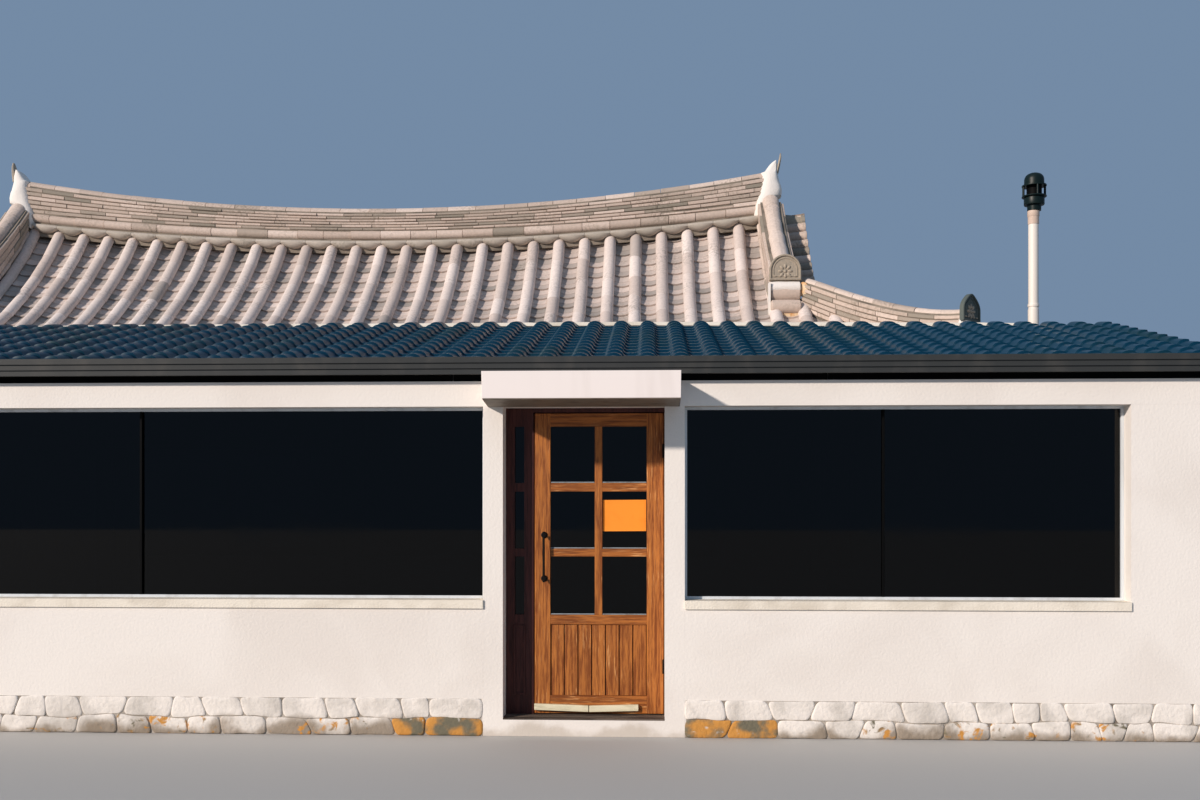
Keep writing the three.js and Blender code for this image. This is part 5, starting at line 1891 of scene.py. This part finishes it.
    def _sidelight_panel(self) -> None:
        """Mouldings round the recessed lower panel of the sidelight."""
        draft = Draft()
        x, z = self.sidelight
        draft.surround(x, (self.face - 0.008, self.face + 0.0003), z, 0.014, 0.3)
        # The moulding's dark maroon is partly painted shade.
        made = self.finishes.several(Finishes.MAROON_AND_SHADED_WOOD)
        place(draft.build("sidelight_moulding", made, bevel=0.002), Body.HOUSE, "maroon_wood")


# Vent


@dataclass
class VentStack:
    """The off-white vent pipe and its green cap, whose outlines are pairs of radius and height."""

    finishes: Finishes
    centre: Span = (6.590, 2.660)
    cap_lean: float = 0.014
    post_ring: float = 0.097
    coupling: tuple[Span, ...] = ((0.041, 4.178), (0.048, 4.178), (0.049, 4.182), (0.049, 4.243),
                                  (0.050, 4.246), (0.053, 4.250), (0.053, 4.298), (0.050, 4.301),
                                  (0.041, 4.301))
    pipe: tuple[Span, ...] = ((0.041, 0.0), (0.045, 0.0), (0.045, 4.180), (0.041, 4.180))
    sleeve: tuple[Span, ...] = ((0.044, 3.24), (0.0485, 3.243), (0.0485, 3.40), (0.044, 3.402))
    clamps: tuple[float, ...] = (0.9, 2.7, 3.423)
    clamp: tuple[Span, ...] = ((0.044, 0.0), (0.050, 0.001), (0.051, 0.013), (0.050, 0.025), (0.044, 0.026))
    cage_foot: tuple[Span, ...] = ((0.02, 4.3015), (0.060, 4.3015), (0.062, 4.345), (0.066, 4.349),
                                   (0.088, 4.353), (0.090, 4.360), (0.090, 4.415), (0.088, 4.421),
                                   (0.107, 4.425), (0.109, 4.430), (0.107, 4.436), (0.02, 4.438))
    cage_top: tuple[Span, ...] = ((0.02, 4.520), (0.107, 4.522), (0.109, 4.528), (0.107, 4.534),
                                  (0.088, 4.537), (0.087, 4.585), (0.084, 4.600), (0.076, 4.618),
                                  (0.062, 4.632), (0.040, 4.642), (0.018, 4.646), (0.0, 4.647))

    def build(self) -> None:
        """Builds the pipe with its couplings, and the cap with its open cage."""
        pipe = Draft()
        pipe.lathe(self.pipe, self.centre, 28)
        pipe.lathe(self.coupling, self.centre, 28, 1)
        for z in self.clamps:
            pipe.lathe([(radius, z + up) for radius, up in self.clamp], self.centre, 28)
        pipe.lathe(self.sleeve, self.centre, 28)
        x, y = self.centre
        for z in self.clamps[:2]:
            pipe.block((x - 0.015, x + 0.015), (2.5403, y - 0.043), (z, z + 0.026))
        made = self.finishes.several(Finishes.PIPE, Finishes.COLLAR)
        place(pipe.build("vent_stack", made), Body.HOUSE, "pipe_plastic", "vent_pipe")
        cap = Draft()
        centre = (x + self.cap_lean / 2, y)
        for outline in (self.cage_foot, self.cage_top):
            cap.lathe(outline, centre, 28)
        cap.lathe([(0.01, 4.436), (0.066, 4.437), (0.066, 4.521), (0.01, 4.522)], centre, 24, 1)
        for a in full_turn(4):
            at = (centre[0] + self.post_ring * math.cos(a), centre[1] + self.post_ring * math.sin(a))
            cap.tube([Vector((*at, z)) for z in (4.434, 4.524)], 0.0105, 10)
        made = self.finishes.several(Finishes.CAP, Finishes.BLACK_SEAL_AND_SHADE)
        place(cap.build("cage_cap", made), Body.HOUSE, "cap_metal", "vent_cap")


# Stage


@dataclass
class Studio:
    """Camera, floor and lights."""

    camera_at: Point = (2.703, -12.1875, 1.66)
    turn: float = 2.447
    lens: float = 35.1
    shift: float = 0.0833
    sky: Colour = (0.175, 0.245, 0.345, 1.0)
    sun: float = 3.1
    sun_spread: float = 2.5
    sun_colour: Point = (1.0, 0.885, 0.79)
    sun_way: Point = (1.07, 1.0, -0.61)
    floor_colour: Colour = linear(190, 188, 184)
    floor_reach: float = 60.0

    def build(self) -> None:
        """Sets up all three."""
        scene = bpy.context.scene
        scene.view_settings.view_transform, scene.view_settings.look = "Standard", "Medium High Contrast"
        lens = bpy.data.cameras.new("street view")
        lens.lens, lens.sensor_width, lens.shift_y = self.lens, 36.0, self.shift
        lens.clip_end = 200.0
        camera = bpy.data.objects.new("street view", lens)
        camera.location = self.camera_at
        camera.rotation_euler = (math.pi / 2, 0.0, math.radians(self.turn))
        scene.collection.objects.link(camera)
        scene.camera = camera
        self._floor()
        world = bpy.data.worlds.new("studio")
        world.use_nodes = True
        world.node_tree.nodes["Background"].inputs["Color"].default_value = self.sky
        world.node_tree.nodes["Background"].inputs["Strength"].default_value = 1.0
        scene.world = world
        key = bpy.data.lights.new("key", "SUN")
        key.energy, key.angle, key.color = self.sun, math.radians(self.sun_spread), self.sun_colour
        lamp = bpy.data.objects.new("key", key)
        lamp.rotation_euler = Vector(self.sun_way).to_track_quat("-Z", "Y").to_euler()
        scene.collection.objects.link(lamp)

    def _floor(self) -> None:
        """The plain pale floor."""
        mesh = bpy.data.meshes.new("floor")
        mesh.from_pydata([(self.floor_reach * x, self.floor_reach * y, -0.001)
                          for x, y in ((-1, -1), (1, -1), (1, 1), (-1, 1))], [], [(0, 1, 2, 3)])
        floor = bpy.data.objects.new("floor", mesh)
        pale = bpy.data.materials.new("pale floor")
        pale.use_nodes = True
        shader = pale.node_tree.nodes["Principled BSDF"]
        shader.inputs["Base Color"].default_value = self.floor_colour
        shader.inputs["Roughness"].default_value = 0.9
        mesh.materials.append(pale)
        bpy.context.scene.collection.objects.link(floor)


def main() -> None:
    """Loads the frame and builds every sub-assembly around it."""
    logging.basicConfig(level=logging.INFO, format="%(message)s")
    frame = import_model()
    nodes = frame["nodes"]
    Studio().build()
    finishes = Finishes(Effects())
    TiledRoof(finishes).build()
    Ridges(finishes).build()
    Gables(finishes).build()
    MetalRoof(finishes).build(nodes)
    ShopFront(finishes).build(nodes)
    WallWindows(finishes).build()
    Entrance(finishes).build(nodes)
    VentStack(finishes).build()


if __name__ == "__main__":
    main()
